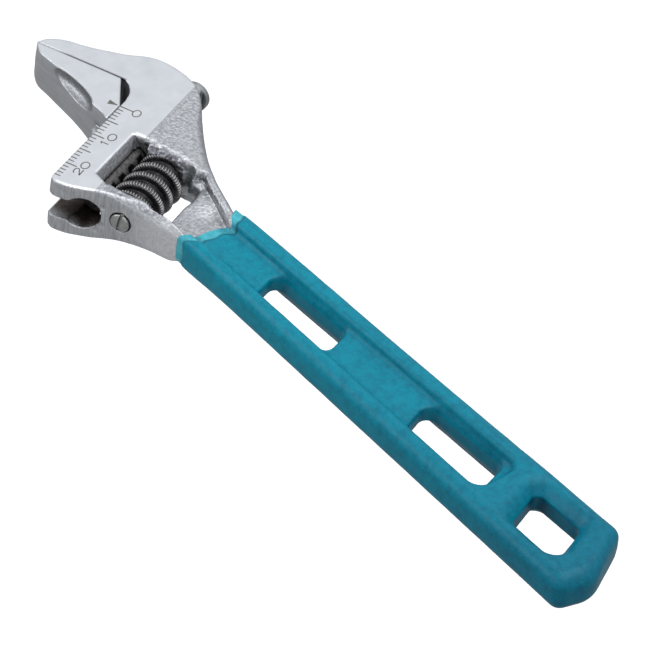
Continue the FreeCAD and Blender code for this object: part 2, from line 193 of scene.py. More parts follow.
def fbm3(p, freq, octv=3, off=0.0):
    r = 0.0
    amp = 1.0
    tot = 0.0
    for k in range(octv):
        r = r + amp * noise3(p, freq * 2 ** k, off + 11.3 * k)
        tot += amp
        amp *= 0.5
    return r / tot


def surface_nets(D, org, h):
    S = D < 0
    nx, ny, nz = D.shape
    cnt8 = np.zeros((nx - 1, ny - 1, nz - 1), np.int8)
    offs = [(a, b, c) for a in (0, 1) for b in (0, 1) for c in (0, 1)]
    for a, b, c in offs:
        cnt8 += S[a:nx - 1 + a, b:ny - 1 + b, c:nz - 1 + c]
    act = (cnt8 > 0) & (cnt8 < 8)
    ii = np.argwhere(act)
    idx = np.full(act.shape, -1, np.int64)
    idx[act] = np.arange(len(ii))
    vals = [D[ii[:, 0] + a, ii[:, 1] + b, ii[:, 2] + c] for a, b, c in offs]
    acc = np.zeros((len(ii), 3))
    cnt = np.zeros(len(ii))
    for m in range(8):
        for n in range(m + 1, 8):
            A, B = np.array(offs[m]), np.array(offs[n])
            if np.abs(A - B).sum() != 1:
                continue
            da, db = vals[m], vals[n]
            k = (da < 0) != (db < 0)
            t = da[k] / (da[k] - db[k])
            acc[k] += A + t[:, None] * (B - A)
            cnt[k] += 1
    pos = (ii + acc / cnt[:, None]) * h + np.asarray(org)
    quads = []
    for ax in range(3):
        o1, o2 = (ax + 1) % 3, (ax + 2) % 3
        sl0 = [slice(None)] * 3
        sl1 = [slice(None)] * 3
        sl0[ax] = slice(0, -1)
        sl1[ax] = slice(1, None)
        e = np.argwhere(S[tuple(sl0)] != S[tuple(sl1)])
        m = (e[:, o1] > 0) & (e[:, o2] > 0) & (e[:, o1] < D.shape[o1] - 1) & (e[:, o2] < D.shape[o2] - 1)
        e = e[m]
        inside = S[e[:, 0], e[:, 1], e[:, 2]]

        def cell(d1, d2):
            q = e.copy()
            q[:, o1] += d1
            q[:, o2] += d2
            return idx[q[:, 0], q[:, 1], q[:, 2]]
        c0, c1, c2, c3 = cell(-1, -1), cell(0, -1), cell(0, 0), cell(-1, 0)
        q = np.stack([c0, c1, c2, c3], axis=1)
        q[~inside] = q[~inside][:, ::-1]
        quads.append(q)
    return pos, np.concatenate(quads)


def vertex_normals(P, F):
    a = P[F[:, 2]] - P[F[:, 0]]
    b = P[F[:, 3]] - P[F[:, 1]]
    fn = np.cross(a, b)
    N = np.zeros_like(P)
    for k in range(4):
        np.add.at(N, F[:, k], fn)
    return N / np.maximum(np.linalg.norm(N, axis=1, keepdims=True), 1e-12)


def field_shade(D, org, h, P, N, dists=(0.8, 1.8, 3.6)):
    """how open the surface is, 0 deep in a corner, 1 in the open; the materials multiply it into the colour as painted
    shade
    """
    acc = np.zeros(len(P))
    tot = 0.0
    dims = np.array(D.shape)
    for t in dists:
        q = (P + N * t - np.asarray(org)) / h
        inb = np.all((q >= 0) & (q <= dims - 1.001), axis=1)
        qc = np.clip(q, 0, dims - 1.001)
        i = np.floor(qc).astype(np.int64)
        f = qc - i
        val = 0.0
        for a in (0, 1):
            for b in (0, 1):
                for c in (0, 1):
                    w = (f[:, 0] if a else 1 - f[:, 0]) * (f[:, 1] if b else 1 - f[:, 1]) * (f[:, 2] if c else 1 - f[:, 2])
                    val = val + w * D[i[:, 0] + a, i[:, 1] + b, i[:, 2] + c]
        open_ = np.where(inb, np.clip(val / t, 0, 1), 1.0)
        acc += open_ / (1.0 + 0.25 * t)
        tot += 1.0 / (1.0 + 0.25 * t)
    return acc / tot


def mk_mesh(name, P, F, smooth=True, attrs=None):
    me = bpy.data.meshes.new(name)
    F = np.asarray(F, dtype=np.int32)
    k = F.shape[1]
    me.vertices.add(len(P))
    me.vertices.foreach_set("co", np.asarray(P, np.float32).ravel())
    me.loops.add(F.size)
    me.loops.foreach_set("vertex_index", F.ravel())
    me.polygons.add(len(F))
    me.polygons.foreach_set("loop_start", np.arange(0, F.size, k, dtype=np.int32))
    me.polygons.foreach_set("use_smooth", np.full(len(F), smooth))
    me.update(calc_edges=True)
    me.validate()
    if attrs:
        for an, av in attrs.items():
            at = me.attributes.new(an, "FLOAT", "POINT")
            at.data.foreach_set("value", np.asarray(av, np.float32))
    ob = bpy.data.objects.new(name, me)
    bpy.context.scene.collection.objects.link(ob)
    return ob


def grid_axes(lo, hi, h):
    n = [int(math.ceil((hi[i] - lo[i]) / h)) + 1 for i in range(3)]
    ax = [lo[i] + h * np.arange(n[i]) for i in range(3)]
    return ax


# ------------------------------------------------------------- the head body
H_HEAD = 0.2
H_JAW = 0.17
H_GRIP = 0.25

BACK = [(22.75, -8.35), (21.9, -9.7), (20.4, -10.8), (18.8, -11.5), (17.2, -11.9), (15.6, -12.1),
        (13.7, -12.5), (11.8, -13.0), (10.0, -13.6), (8.0, -14.2), (6.3, -14.9), (4.6, -15.8),
        (2.9, -16.5), (0.9, -16.9), (-1.4, -16.8), (-3.9, -16.3), (-6.5, -15.4), (-9.2, -13.8),
        (-11.3, -11.7), (-12.9, -9.4), (-14.4, -7.0), (-17.1, -3.0), (-20.0, 0.9), (-22.2, 3.5),
        (-24.75, 6.1), (-27.4, 8.3), (-29.6, 9.95), (-32.9, 11.8), (-36.2, 13.2)]
LOW = [(-31.5, 25.4), (-28.0, 24.10), (-25.0, 23.25), (-22.5, 22.95), (-20.0, 22.75), (-17.5, 22.8),
       (-15.0, 23.0), (-12.5, 23.2), (-10.5, 23.6), (-8.5, 24.35), (-6.5, 25.1), (-4.5, 25.75),
       (-2.5, 26.05), (-1.0, 26.0), (0.0, 25.4), (2.0, 24.6)]
OUTLINE = catmull(BACK) + catmull(LOW) + [(8.0, 24.0), (26.0, -5.0), (23.4, -7.0)]
THROAT = [(0.0, 32.0), (0.0, -2.0), (0.35, -4.1), (0.7, -5.0), (1.15, -5.75), (1.9, -6.7), (3.3, -7.66),
          (34.0, -7.66), (34.0, 32.0)]
WINDOW = rounded_poly([(-7.5, 6.65), (-19.4, 6.65), (-19.9, 8.2), (-22.3, 8.5), (-22.3, 21.0), (-19.6, 20.65),
                       (-17.6, 20.4), (-7.5, 20.35)], [0.7, 0.6, 0.5, 0.4, 0.4, 0.8, 1.2, 2.2])
RAIL_U, RAIL_R = -6.9, 3.05
WORM_U = -14.0


def pocket_uv():
    pts = [(37.5, -2.15), (33.6, -1.15), (27.9, 0.4), (22.9, 1.9)]
    out = [xy_to_uv(*p) for p in pts]
    out += [(-18.9, 8.8), (-18.9, 20.7), (-22.3, 21.05), (-24.3, 21.6), (-27.0, 22.25)]
    out += [xy_to_uv(37.5, -10.3)]
    return out


def head_sdf(ax, xmax=36.6):
    u = ax[0][:, None]
    v = ax[1][None, :]
    uu = u + 0 * v
    vv = v + 0 * u
    d_out = poly_sdf(uu, vv, OUTLINE)
    X = -CA * uu + SA * vv
    d_out = np.maximum(d_out, X - xmax)
    d_thr = poly_sdf(uu, vv, THROAT)
    d_win = poly_sdf(uu, vv, WINDOW)
    d_pk = poly_sdf(uu, vv, pocket_uv())
    z = ax[2][None, None, :]
    zc = np.abs(z - MID)
    # half thickness: flat ground band, then the forged neck slopes away
    near = sstep(vv, 15.0, 18.5) * sstep(-uu, 12.0, 18.0)
    farm = sstep(-uu, 19.0, 24.0) * (1 - sstep(vv, 12.0, 15.0))
    hh = T / 2 - np.maximum(0.0, -8.6 - uu) * (0.105 - 0.045 * near - 0.018 * farm)
    hh = np.maximum(hh, 3.95)
    # rounding of the rim: crisp at the jaws, soft on the forging
    neck = sstep(-uu, 9.0, 17.0)
    lipz = sstep(vv, 19.0, 23.0) * sstep(uu, -16.0, -7.0)
    toh = sstep(X, 30.5, 34.3)
    rr = 0.28 + 1.25 * neck + 0.15 * lipz + 0.3 * toh - 0.7 * farm
    d_out = d_out + (0.55 - 0.25 * farm) * toh
    hh = hh - (0.45 + 0.55 * near - 0.15 * farm) * toh
    front = sstep(z, MID - 1.0, MID + 1.0)
    rr = rr[:, :, None] + (1.1 * sstep(vv, 17.0, 20.0) * sstep(-uu, 14.0, 20.0))[:, :, None] * front
    dr = (0.30 + 0.25 * neck)[:, :, None] * (zc / (T / 2)) ** 2
    q0 = d_out[:, :, None] + dr + rr
    q1 = zc - hh[:, :, None] + rr
    D = np.minimum(np.maximum(q0, q1), 0) + np.sqrt(np.maximum(q0, 0) ** 2 + np.maximum(q1, 0) ** 2) - rr
    # tip chamfered at 45 degrees on the back
    D = smax(D, (uu[:, :, None] - 16.9 - (z + T)) * 0.7071, 0.2)
    # throat and slide edge
    D = smax(D, -d_thr[:, :, None] + 0 * zc, 0.12)
    # bevel from the scale face down to the slide channel
    bev = np.maximum(np.maximum((uu + 6.15)[:, :, None], -(zc - (T / 2 + (uu[:, :, None] + 6.15) * 1.8)) * 0.5),
                     np.maximum((-9.6 - uu), np.maximum(5.6 - vv, vv - 19.3 + 0.5 * (uu + 6.2)))[:, :, None] + 1.3 * (z < MID))
    D = smax(D, -bev, 0.25)
    # broken rim on the far side of the window
    s0 = 5.2 + 1.1 * sstep(-uu, 17.5, 20.5)
    far = np.maximum(np.maximum((s0 - vv)[:, :, None], -(zc - (hh[:, :, None] - (vv - s0)[:, :, None] * 1.15)) * 0.66),
                     np.maximum(np.maximum(uu + 6.9 + 0.3 * (vv - 5.2), -22.3 - uu), vv - 10.0)[:, :, None])
    D = smax(D, -far, 0.6)
    # window for the worm
    dr_far = 0.23 * sstep(-uu, 17.6, 18.6) * sstep(-vv, -14.0, -11.0)
    dr_near = 0.02 * sstep(-uu, 9.0, 13.0) * sstep(vv, 16.0, 19.0)
    D = smax(D, -(d_win[:, :, None] - (dr_far + dr_near)[:, :, None] * zc), 0.5)
    # recess between the arms of the neck
    dp = d_pk[:, :, None] + (0.22 - 0.14 * farm)[:, :, None] * (3.6 - zc)
    yr = -SA * uu - CA * vv
    web = 1.45 + 0.8 * sstep(yr, -6.0, 0.5) * (1 - sstep(X, 27.5, 32.3))
    pk = smax(dp, web[:, :, None] - zc, 0.5)
    D = smax(D, -pk, 0.45 + 0.9 * farm[:, :, None])
    # round channel with key slot
    rch = np.sqrt((uu[:, :, None] - RAIL_U) ** 2 + (z - MID) ** 2)
    flare = 0.35 * sstep(vv, 22.2, 25.2)[:, :, None]
    D = smax(D, -(rch - 3.14 - flare), 0.18)
    slot = np.maximum(np.maximum(np.abs(z - MID) - 2.3, (RAIL_U - uu)[:, :, None]),
                      np.maximum(uu - 4.0, -2.6 - vv)[:, :, None])
    D = smax(D, -slot, 0.18)
    # axle bore and screw recess
    rb = np.sqrt((uu[:, :, None] - WORM_U) ** 2 + (z - MID) ** 2)
    bore = np.maximum(rb - 1.32, np.maximum(3.2 - vv, vv - 24.6)[:, :, None])
    D = smax(D, -bore, 0.12)
    rec = np.maximum(rb - 2.12, 22.0 - vv[:, :, None])
    D = smax(D, -rec, 0.15)
    return D.astype(np.float32)


def build_head():
    ax = grid_axes((-37.5, -17.6, -T - 0.5), (23.6, 27.2, 0.5), H_HEAD)
    D = head_sdf(ax)
    org = (ax[0][0], ax[1][0], ax[2][0])
    P, F = surface_nets(D, org, H_HEAD)
    N = vertex_normals(P, F)
    u, v, z = P[:, 0], P[:, 1], P[:, 2]
    zc = np.abs(z - MID)
    top = sstep(np.abs(N[:, 2]), 0.55, 0.85)
    # forged areas
    X = -CA * u + SA * v
    flat = top * (zc > T / 2 - 0.2) * (u > -8.7)
    rough = 1.0 - flat
    side_ground = (1 - sstep(np.abs(N[:, 2]), 0.35, 0.6)) * sstep(u, -13.0, -8.0)
    lip_side = (1 - sstep(np.abs(N[:, 2]), 0.35, 0.6)) * sstep(v, 18, 21) * sstep(-u, -30, -4) * sstep(u, -24.0, -13.0)
    inner = ((u > -22.8) & (u < -8.0) & (v > 6.6) & (v < 21.9)).astype(float)
    # forging wave on the rough skin
    m = np.clip(rough - 0.8 * side_ground, 0, 1) * sstep(-u, 7.5, 10.0)
    disp = (0.030 * fbm3(P, 0.45, 2, 3.0) + 0.010 * fbm3(P, 2.2, 2, 9.0)) * m
    # nicks along the window's rim
    rimv = 6.1 + 1.3 * sstep(-u, 16.0, 20.0)
    rim = np.exp(-((v - rimv) / 1.0) ** 2) * sstep(-u, 7.2, 9.0) * sstep(u, -24.5, -21.0) * (zc > 2.8)
    disp -= rim * (0.10 + 0.27 * fbm3(P, 0.95, 3, 21.0))
    rim2 = np.exp(-((v - 21.6) / 0.9) ** 2) * sstep(-u, 9.0, 11.0) * sstep(u, -24.0, -20.0) * (zc > 3.0)
    disp -= rim2 * 0.05 * (1 + fbm3(P, 0.8, 2, 31.0))
    # upset marks beside the channel mouth
    for (du, dz, r, dep) in ((-10.3, MID + 2.2, 0.55, 0.35), (-10.4, MID - 2.0, 0.6, 0.35), (-9.3, MID - 3.4, 0.5, 0.3),
                             (-3.0, MID + 4.0, 0.5, 0.2)):
        g = np.exp(-(((u - du) ** 2 + (z - dz) ** 2) / (r * r))) * (v > 22.0)
        disp -= dep * g
    P = P + N * disp[:, None]
    N = vertex_normals(P, F)
    # cavity shade: deep inside holes
    chan = np.sqrt((u - RAIL_U) ** 2 + (z - MID) ** 2) < 3.45
    slotm = (zc < 2.5) & (u > RAIL_U) & (u < -0.2)
    cav = ((chan | slotm) & (v > -3)).astype(float)
    deep = cav * (0.35 + 0.65 * sstep(26.0 - v, 0.3, 3.0))
    # openness of the surface, painted into the colour as shade in corners and recesses
    ao = field_shade(D, org, H_HEAD, P, N)
    # painted shade: a dark line along the jaws' closing line, where the gap between the jaws lies in shadow
    jaw_gap_painted_shade = np.exp(-((v + 7.68) / 0.20) ** 2) * (zc > T / 2 - 0.7) * sstep(u, 2.5, 3.6) * (1.0 - 0.75 * sstep(u, 15.0, 19.0))
    # painted light: the sideways faces of the near arm are given a lighter colour
    ob = mk_mesh("body_forging", place_head(P), F, attrs={
        "ao": ao, "jaw_gap_painted_shade": jaw_gap_painted_shade, "near_arm_painted_light": sstep(v, 14.0, 19.0) * sstep(-u, 11.0, 19.0) * (1 - sstep(np.abs(N[:, 2]), 0.35, 0.8)), "rough": rough, "streak": np.clip(side_ground + lip_side, 0, 1), "inner": inner * (1 - flat), "cav": deep,
        "rim": np.clip(rim + 0.6 * rim2, 0, 1)})
    return ob


# -------------------------------------------------------------- movable jaw
FLANK = [(22.55, -7.35), (22.3, -6.6), (21.7, -5.6), (20.4, -4.6), (18.6, -3.95), (16.8, -3.3), (15.0, -2.55),
         (13.3, -1.7), (11.6, -0.8), (10.0, 0.1), (8.5, 0.9), (7.1, 1.6), (5.8, 2.25), (4.3, 2.9), (2.6, 3.6),
         (0.12, 4.6)]
LENS = [(20.3, -4.75), (18.9, -3.75), (17.3, -3.25), (15.0, -3.15), (12.4, -2.55), (9.6, -1.45), (7.0, 0.0),
        (5.3, 1.5), (4.3, 3.2)]


def jaw_sdf(ax):
    u = ax[0][:, None]
    v = ax[1][None, :]
    uu = u + 0 * v
    vv = v + 0 * u
    z = ax[2][None, None, :]
    zc = np.abs(z - MID)
    jf = -7.66 + 0.06
    face = [(4.05, jf + 0.12), (6.5, jf + 0.07), (14.0, jf + 0.02), (22.4, jf)] + catmull(FLANK) + [(0.12, -0.35)]
    d = poly_sdf(uu, vv, face)[:, :, None]
    hgt = T / 2
    rr = 0.2
    # the face narrows towards the rim on the flank side
    vmid = np.interp(uu, [0.0, 4.0, 10.0, 16.0, 22.5], [2.1, -2.0, -3.6, -5.2, -7.3])
    fw = sstep(vv - vmid, 0.0, 1.2) * sstep(uu, 0.3, 2.0)
    dr = 0.55 * np.maximum(0, zc / hgt - 0.1) ** 2 * fw[:, :, None]
    q0 = d + dr + rr
    q1 = zc - hgt + rr
    J = np.minimum(np.maximum(q0, q1), 0) + np.sqrt(np.maximum(q0, 0) ** 2 + np.maximum(q1, 0) ** 2) - rr
    # scoops: floor falls from the face to the central band
    lens = catmull(LENS) + [(5.5, 9.0), (24.0, 2.0)]
    dl = poly_sdf(uu, vv, lens)[:, :, None]
    floor = hgt - 2.05 - 0.55 * np.clip(-dl, 0, 3.0)
    sc = smax(dl + 0.10 * (zc - hgt), floor - zc, 1.3)
    J = smax(J, -sc, 0.22)
    # the back is relieved along the flank and runs out at the tip
    t = np.clip((MID - 2.0 - z) / 3.8, 0, 1.1)
    ru = np.array([4.0, 5.8, 8.5, 11.6, 15.0, 18.6, 20.4, 22.4, 24.0])
    hi = np.array([3.1, 2.25, 0.9, -0.8, -2.55, -3.95, -4.6, -6.0, -6.4])
    lo = np.array([2.0, -0.2, -2.0, -3.7, -5.3, -7.0, -7.9, -8.6, -9.2])
    vh = np.interp(uu, ru, hi)[:, :, None]
    vl = np.interp(uu, ru, lo)[:, :, None]
    rel = np.maximum((vh + (vl - vh) * t - vv[:, :, None]) * 0.75, np.maximum(z - (MID - 2.0), (4.0 - uu)[:, :, None]))
    J = smax(J, -rel, 0.5)
    J = smax(J, (uu[:, :, None] - 16.9 - (z + T)) * 0.7071, 0.3)
    J = np.maximum(J, (0.07 - uu)[:, :, None])
    # web in the key slot
    web = [(3.0, 2.0), (3.0, 4.7), (1.8, 6.6), (0.7, 9.0), (-0.6, 12.5), (-6.9, 12.5), (-6.9, -1.9), (0.12, -1.9), (3.0, -4.6)]
    dw = poly_sdf(uu, vv, web)[:, :, None]
    W = smax(dw, zc - 2.15, 0.25)
    J = smin(J, W, 0.15)
    # round rail with chamfered ends
    rc = np.sqrt((uu[:, :, None] - RAIL_U) ** 2 + (z - MID) ** 2)
    v3 = vv[:, :, None]
    R = np.maximum(rc - RAIL_R, np.maximum(-18.5 - v3, v3 - 20.2))
    R = smax(R, (rc - RAIL_R + (-18.5 - v3)) * 0.7071 + 0.42, 0.12)
    R = smax(R, (rc - RAIL_R + (v3 - 20.2)) * 0.7071 + 0.42, 0.12)
    # rack grooves, slanted by the thread's lead
    lead = math.atan(3.3 / (2 * math.pi * 4.5))
    tl = math.tan(lead)
    g0 = 16.5 + 3.3 / 4
    ph = (v3 + (z - MID) * tl - g0) / 3.3
    ph = (ph - np.round(ph)) * 3.3
    groove = np.maximum(np.abs(ph) - (0.86 + (-(uu[:, :, None]) - 8.65) * 0.26), uu[:, :, None] + 8.65)
    groove = np.maximum(groove, np.maximum(-17.2 - v3, v3 - 21.6))
    R = smax(R, -groove, 0.18)
    J = smin(J, R, 0.12)
    return J.astype(np.float32)


def build_jaw():
    ax = grid_axes((-10.6, -19.2, -T - 0.45), (23.2, 20.8, 0.45), H_JAW)
    D = jaw_sdf(ax)
    P, F = surface_nets(D, (ax[0][0], ax[1][0], ax[2][0]), H_JAW)
    N = vertex_normals(P, F)
    u, v, z = P[:, 0], P[:, 1], P[:, 2]
    zc = np.abs(z - MID)
    flat = sstep(np.abs(N[:, 2]), 0.8, 0.95) * (zc > T / 2 - 0.15)
    # painted shade: the rail inside the window is coloured nearly black, its end behind the head partly darkened
    rail_painted_shade = (np.sqrt((u - RAIL_U) ** 2 + (z - MID) ** 2) < RAIL_R + 0.2) * (0.42 + 0.58 * sstep(v, -6.0, -2.0)) * ((v < -12) | (v > -6))
    dl = poly_sdf(u, v, catmull(LENS) + [(5.5, 9.0), (24.0, 2.0)])
    scv = smax(dl + 0.10 * (zc - T / 2), T / 2 - 2.05 - 0.55 * np.clip(-dl, 0, 3.0) - zc, 1.3)
    lensm = np.exp(-(scv / 0.16) ** 2) * (zc < T / 2 - 0.04) * (zc > 2.0) * sstep(u, 3.4, 4.4) * (v < 9.0) * (1 - sstep(u, 19.4, 20.2))
    P = P + N * (0.018 * fbm3(P, 0.8, 2, 5.0) * lensm)[:, None]
    # openness of the surface, painted into the colour as shade in corners and recesses
    ao = field_shade(D, (ax[0][0], ax[1][0], ax[2][0]), H_JAW, P, N)
    # painted shade: a dark line along the jaws' closing line, where the gap between the jaws lies in shadow
    jaw_gap_painted_shade = np.exp(-((v + 7.60) / 0.20) ** 2) * (zc > T / 2 - 0.7) * sstep(u, 2.5, 3.6) * (1.0 - 0.75 * sstep(u, 15.0, 19.0))
    return mk_mesh("sliding_jaw", place_head(P), F, attrs={
        "ao": ao, "jaw_gap_painted_shade": jaw_gap_painted_shade, "rough": 1 - flat, "scoop": lensm.astype(float), "rail": rail_painted_shade})


# --------------------------------------------------------------------- worm
def build_worm():
    p = 3.3
    v0, v1 = 7.0, 19.95
    R, R0 = 5.1, 3.75
    nphi = 432
    nv = 330
    phi = np.linspace(0, 2 * math.pi, nphi, endpoint=False)
    vs = np.linspace(v0, v1, nv)
    PH, VV = np.meshgrid(phi, vs, indexing="ij")
    # crest at v = 16.5 on the +z side; right-hand thread about +v
    w = (VV - 16.5 - p * PH / (2 * math.pi)) / p
    w = (w - np.round(w)) * p
    a = np.abs(w)
    # rounded trapezoid ridge
    t = np.clip((a - 0.50) / (0.92 - 0.50), 0, 1)
    ridge = 1 - t * t * (3 - 2 * t)
    nk = 54
    kn = np.abs(((PH * nk / (2 * math.pi) + 0.20 * w / 0.5) % 1.0) - 0.5) * 2
    kn = np.clip((kn - 0.30) / 0.5, 0, 1)
    kn = 1 - kn * kn * (3 - 2 * kn)
    crest_round = 0.13 * np.clip(a / 0.5, 0, 1) ** 2
    rad = R0 + (R - R0 - crest_round) * ridge
    rad -= 0.26 * kn * np.clip((ridge - 0.55) / 0.45, 0, 1)
    # the ridge dies away at both ends
    endf = np.minimum(VV - v0, v1 - VV)
    rad = np.where(endf < 0.25, np.minimum(rad, R - 0.35 + endf * 1.4), rad)
    uu = WORM_U + rad * np.sin(PH)
    zz = MID + rad * np.cos(PH)
    P = np.stack([uu, VV, zz], axis=-1).reshape(-1, 3)
    idx = np.arange(nphi * nv).reshape(nphi, nv)
    a0 = idx[:, :-1]
    a1 = idx[:, 1:]
    b0 = np.roll(idx, -1, axis=0)[:, :-1]
    b1 = np.roll(idx, -1, axis=0)[:, 1:]
    F = np.stack([a0, a1, b1, b0], axis=-1).reshape(-1, 4)
    allP = [P]
    allF = [F]
    n = len(P)
    # end faces with the axle hole: rings down to the bore
    rb = 1.36
    for end, row in ((0, idx[:, 0]), (1, idx[:, -1])):
        prev = row
        base = P[row]
        for f in (0.5, 0.0):
            ring = base.copy()
            ring[:, 0] = WORM_U + (base[:, 0] - WORM_U) * f + (1 - f) * (base[:, 0] - WORM_U) / np.linalg.norm(
                base[:, [0, 2]] - [WORM_U, MID], axis=1) * rb
            ring[:, 2] = MID + (base[:, 2] - MID) * f + (1 - f) * (base[:, 2] - MID) / np.linalg.norm(
                base[:, [0, 2]] - [WORM_U, MID], axis=1) * rb
            allP.append(ring)
            cur = np.arange(n, n + nphi)
            n += nphi
            nx_p, nx_c = np.roll(prev, -1), np.roll(cur, -1)
            q = np.stack([prev, nx_p, nx_c, cur], axis=1) if end == 0 else np.stack([prev, cur, nx_c, nx_p], axis=1)
            allF.append(q)
            prev = cur
        if end == 0:
            hole0 = prev
        else:
            hole1 = prev
    q = np.stack([hole0, np.roll(hole0, -1), np.roll(hole1, -1), hole1], axis=1)
    allF.append(q)
    P = np.concatenate(allP)
    F = np.concatenate(allF)
    m = np.concatenate([ridge.reshape(-1), np.zeros(n - nphi * nv)])
    kk = np.concatenate([(kn * ridge).reshape(-1), np.zeros(n - nphi * nv)])
    Q = place_head(P)
    # outward check
    fn = np.cross(Q[F[:, 2]] - Q[F[:, 0]], Q[F[:, 3]] - Q[F[:, 1]])
    cen = Q[F].mean(axis=1)
    axis_p = place_head(np.array([[WORM_U, 14.0, MID]]))[0]
    dirv = np.array([SA, -CA, 0.0])
    rel = cen - axis_p
    radv = rel - (rel @ dirv)[:, None] * dirv
    nside = (phi.size * (nv - 1))
    if (fn[:nside] * radv[:nside]).sum() < 0:
        F = F[:, ::-1]
    return mk_mesh("adjusting_screw", Q, F, attrs={"crest": m, "kn": kk})


# ------------------------------------------------------- axle screw, spring
def build_screw():
    h = 0.07
    ax = grid_axes((-2.5, -1.2, -2.5), (2.5, 2.6, 2.5), h)   # u', w (along v), z'
    a = ax[0][:, None, None]
    w = ax[1][None, :, None]
    z = ax[2][None, None, :]
    r = np.sqrt(a * a + z * z)
    # low domed head: top of dome at w = 1.75
    dome = np.sqrt(r * r + (w + 3.2) ** 2) - 4.95
    head = smax(np.maximum(r - 1.93, 0.0 - w), dome, 0.18)
    shank = np.maximum(r - 1.3, np.maximum(-1.0 - w, w - 0.5))
    D = smin(head, shank, 0.05)
    th = math.radians(8.0)
    sl = np.abs(a * math.cos(th) + z * math.sin(th)) - 0.27
    D = smax(D, -np.maximum(sl, 0.85 - w), 0.08)
    P, F = surface_nets(D.astype(np.float32), (ax[0][0], ax[1][0], ax[2][0]), h)
    Q = P.copy()
    Q[:, 0] += WORM_U
    Q[:, 1] += 22.0
    Q[:, 2] += MID
    N = vertex_normals(P, F)
    slot = ((np.abs(P[:, 0] * math.cos(th) + P[:, 2] * math.sin(th)) < 0.3) & (P[:, 1] < 1.72) & (P[:, 1] > 0.7)).astype(float)
    return mk_mesh("axle_screw_head", place_head(Q), F, attrs={"slotm": slot})


def tube(path, r, nseg=12, closed_ends=True):
    path = np.asarray(path, float)
    n = len(path)
    tan = np.gradient(path, axis=0)
    tan /= np.linalg.norm(tan, axis=1, keepdims=True)
    ref = np.array([0.0, 0.0, 1.0])
    if abs(tan[0] @ ref) > 0.9:
        ref = np.array([1.0, 0, 0])
    P = []
    nrm = np.cross(tan[0], ref)
    nrm /= np.linalg.norm(nrm)
    for i in range(n):
        nrm = nrm - (nrm @ tan[i]) * tan[i]
        nrm /= np.linalg.norm(nrm)
        bn = np.cross(tan[i], nrm)
        for k in range(nseg):
            t = 2 * math.pi * k / nseg
            P.append(path[i] + r * (math.cos(t) * nrm + math.sin(t) * bn))
    P = np.array(P)
    F = []
    for i in range(n - 1):
        for k in range(nseg):
            k2 = (k + 1) % nseg
            F.append((i * nseg + k, (i + 1) * nseg + k, (i + 1) * nseg + k2, i * nseg + k2))
    F = [tuple(reversed(f)) for f in F]
    c0 = len(P)
    P = np.concatenate([P, [path[0]], [path[-1]]])
    for k in range(0, nseg, 2):
        k1, k2 = (k + 1) % nseg, (k + 2) % nseg
        F.append((c0, k2, k1, k))
        b = (n - 1) * nseg
        F.append((c0 + 1, b + k, b + k1, b + k2))
    return P, np.array(F)


def build_axle():
    # plain axle through the worm, hidden but for its ends
    pts = [(WORM_U, v, MID) for v in np.linspace(3.45, 22.2, 12)]
    P, F = tube(pts, 1.28, 24)
    return mk_mesh("worm_axle", place_head(P), F)


def build_spring():
    n = 220
    t = np.linspace(0, 1, n)
    ang = t * 2 * math.pi * 6.0
    v = 7.0 + 0.15 + t * 3.5
    pts = np.stack([WORM_U + 1.95 * np.sin(ang), v, MID + 1.95 * np.cos(ang)], axis=1)
    P, F = tube(pts, 0.25, 10)
    return mk_mesh("axle_spring", place_head(P), F)


# ------------------------------------------------------------ handle + grip
HY = -5.55


def halfw(x):
    return 7.2 + 0.0236 * (x - 50.0)


SLOT1 = [(49.9, -2.15), (69.3, -2.05), (71.4, -8.95), (52.2, -8.85)]
SLOT2 = [(91.6, -1.85), (111.2, -1.45), (113.7, -9.45), (94.4, -9.25)]
HANG = [(119.7, -1.15), (131.2, -0.95), (134.5, -10.0), (123.0, -9.9)]


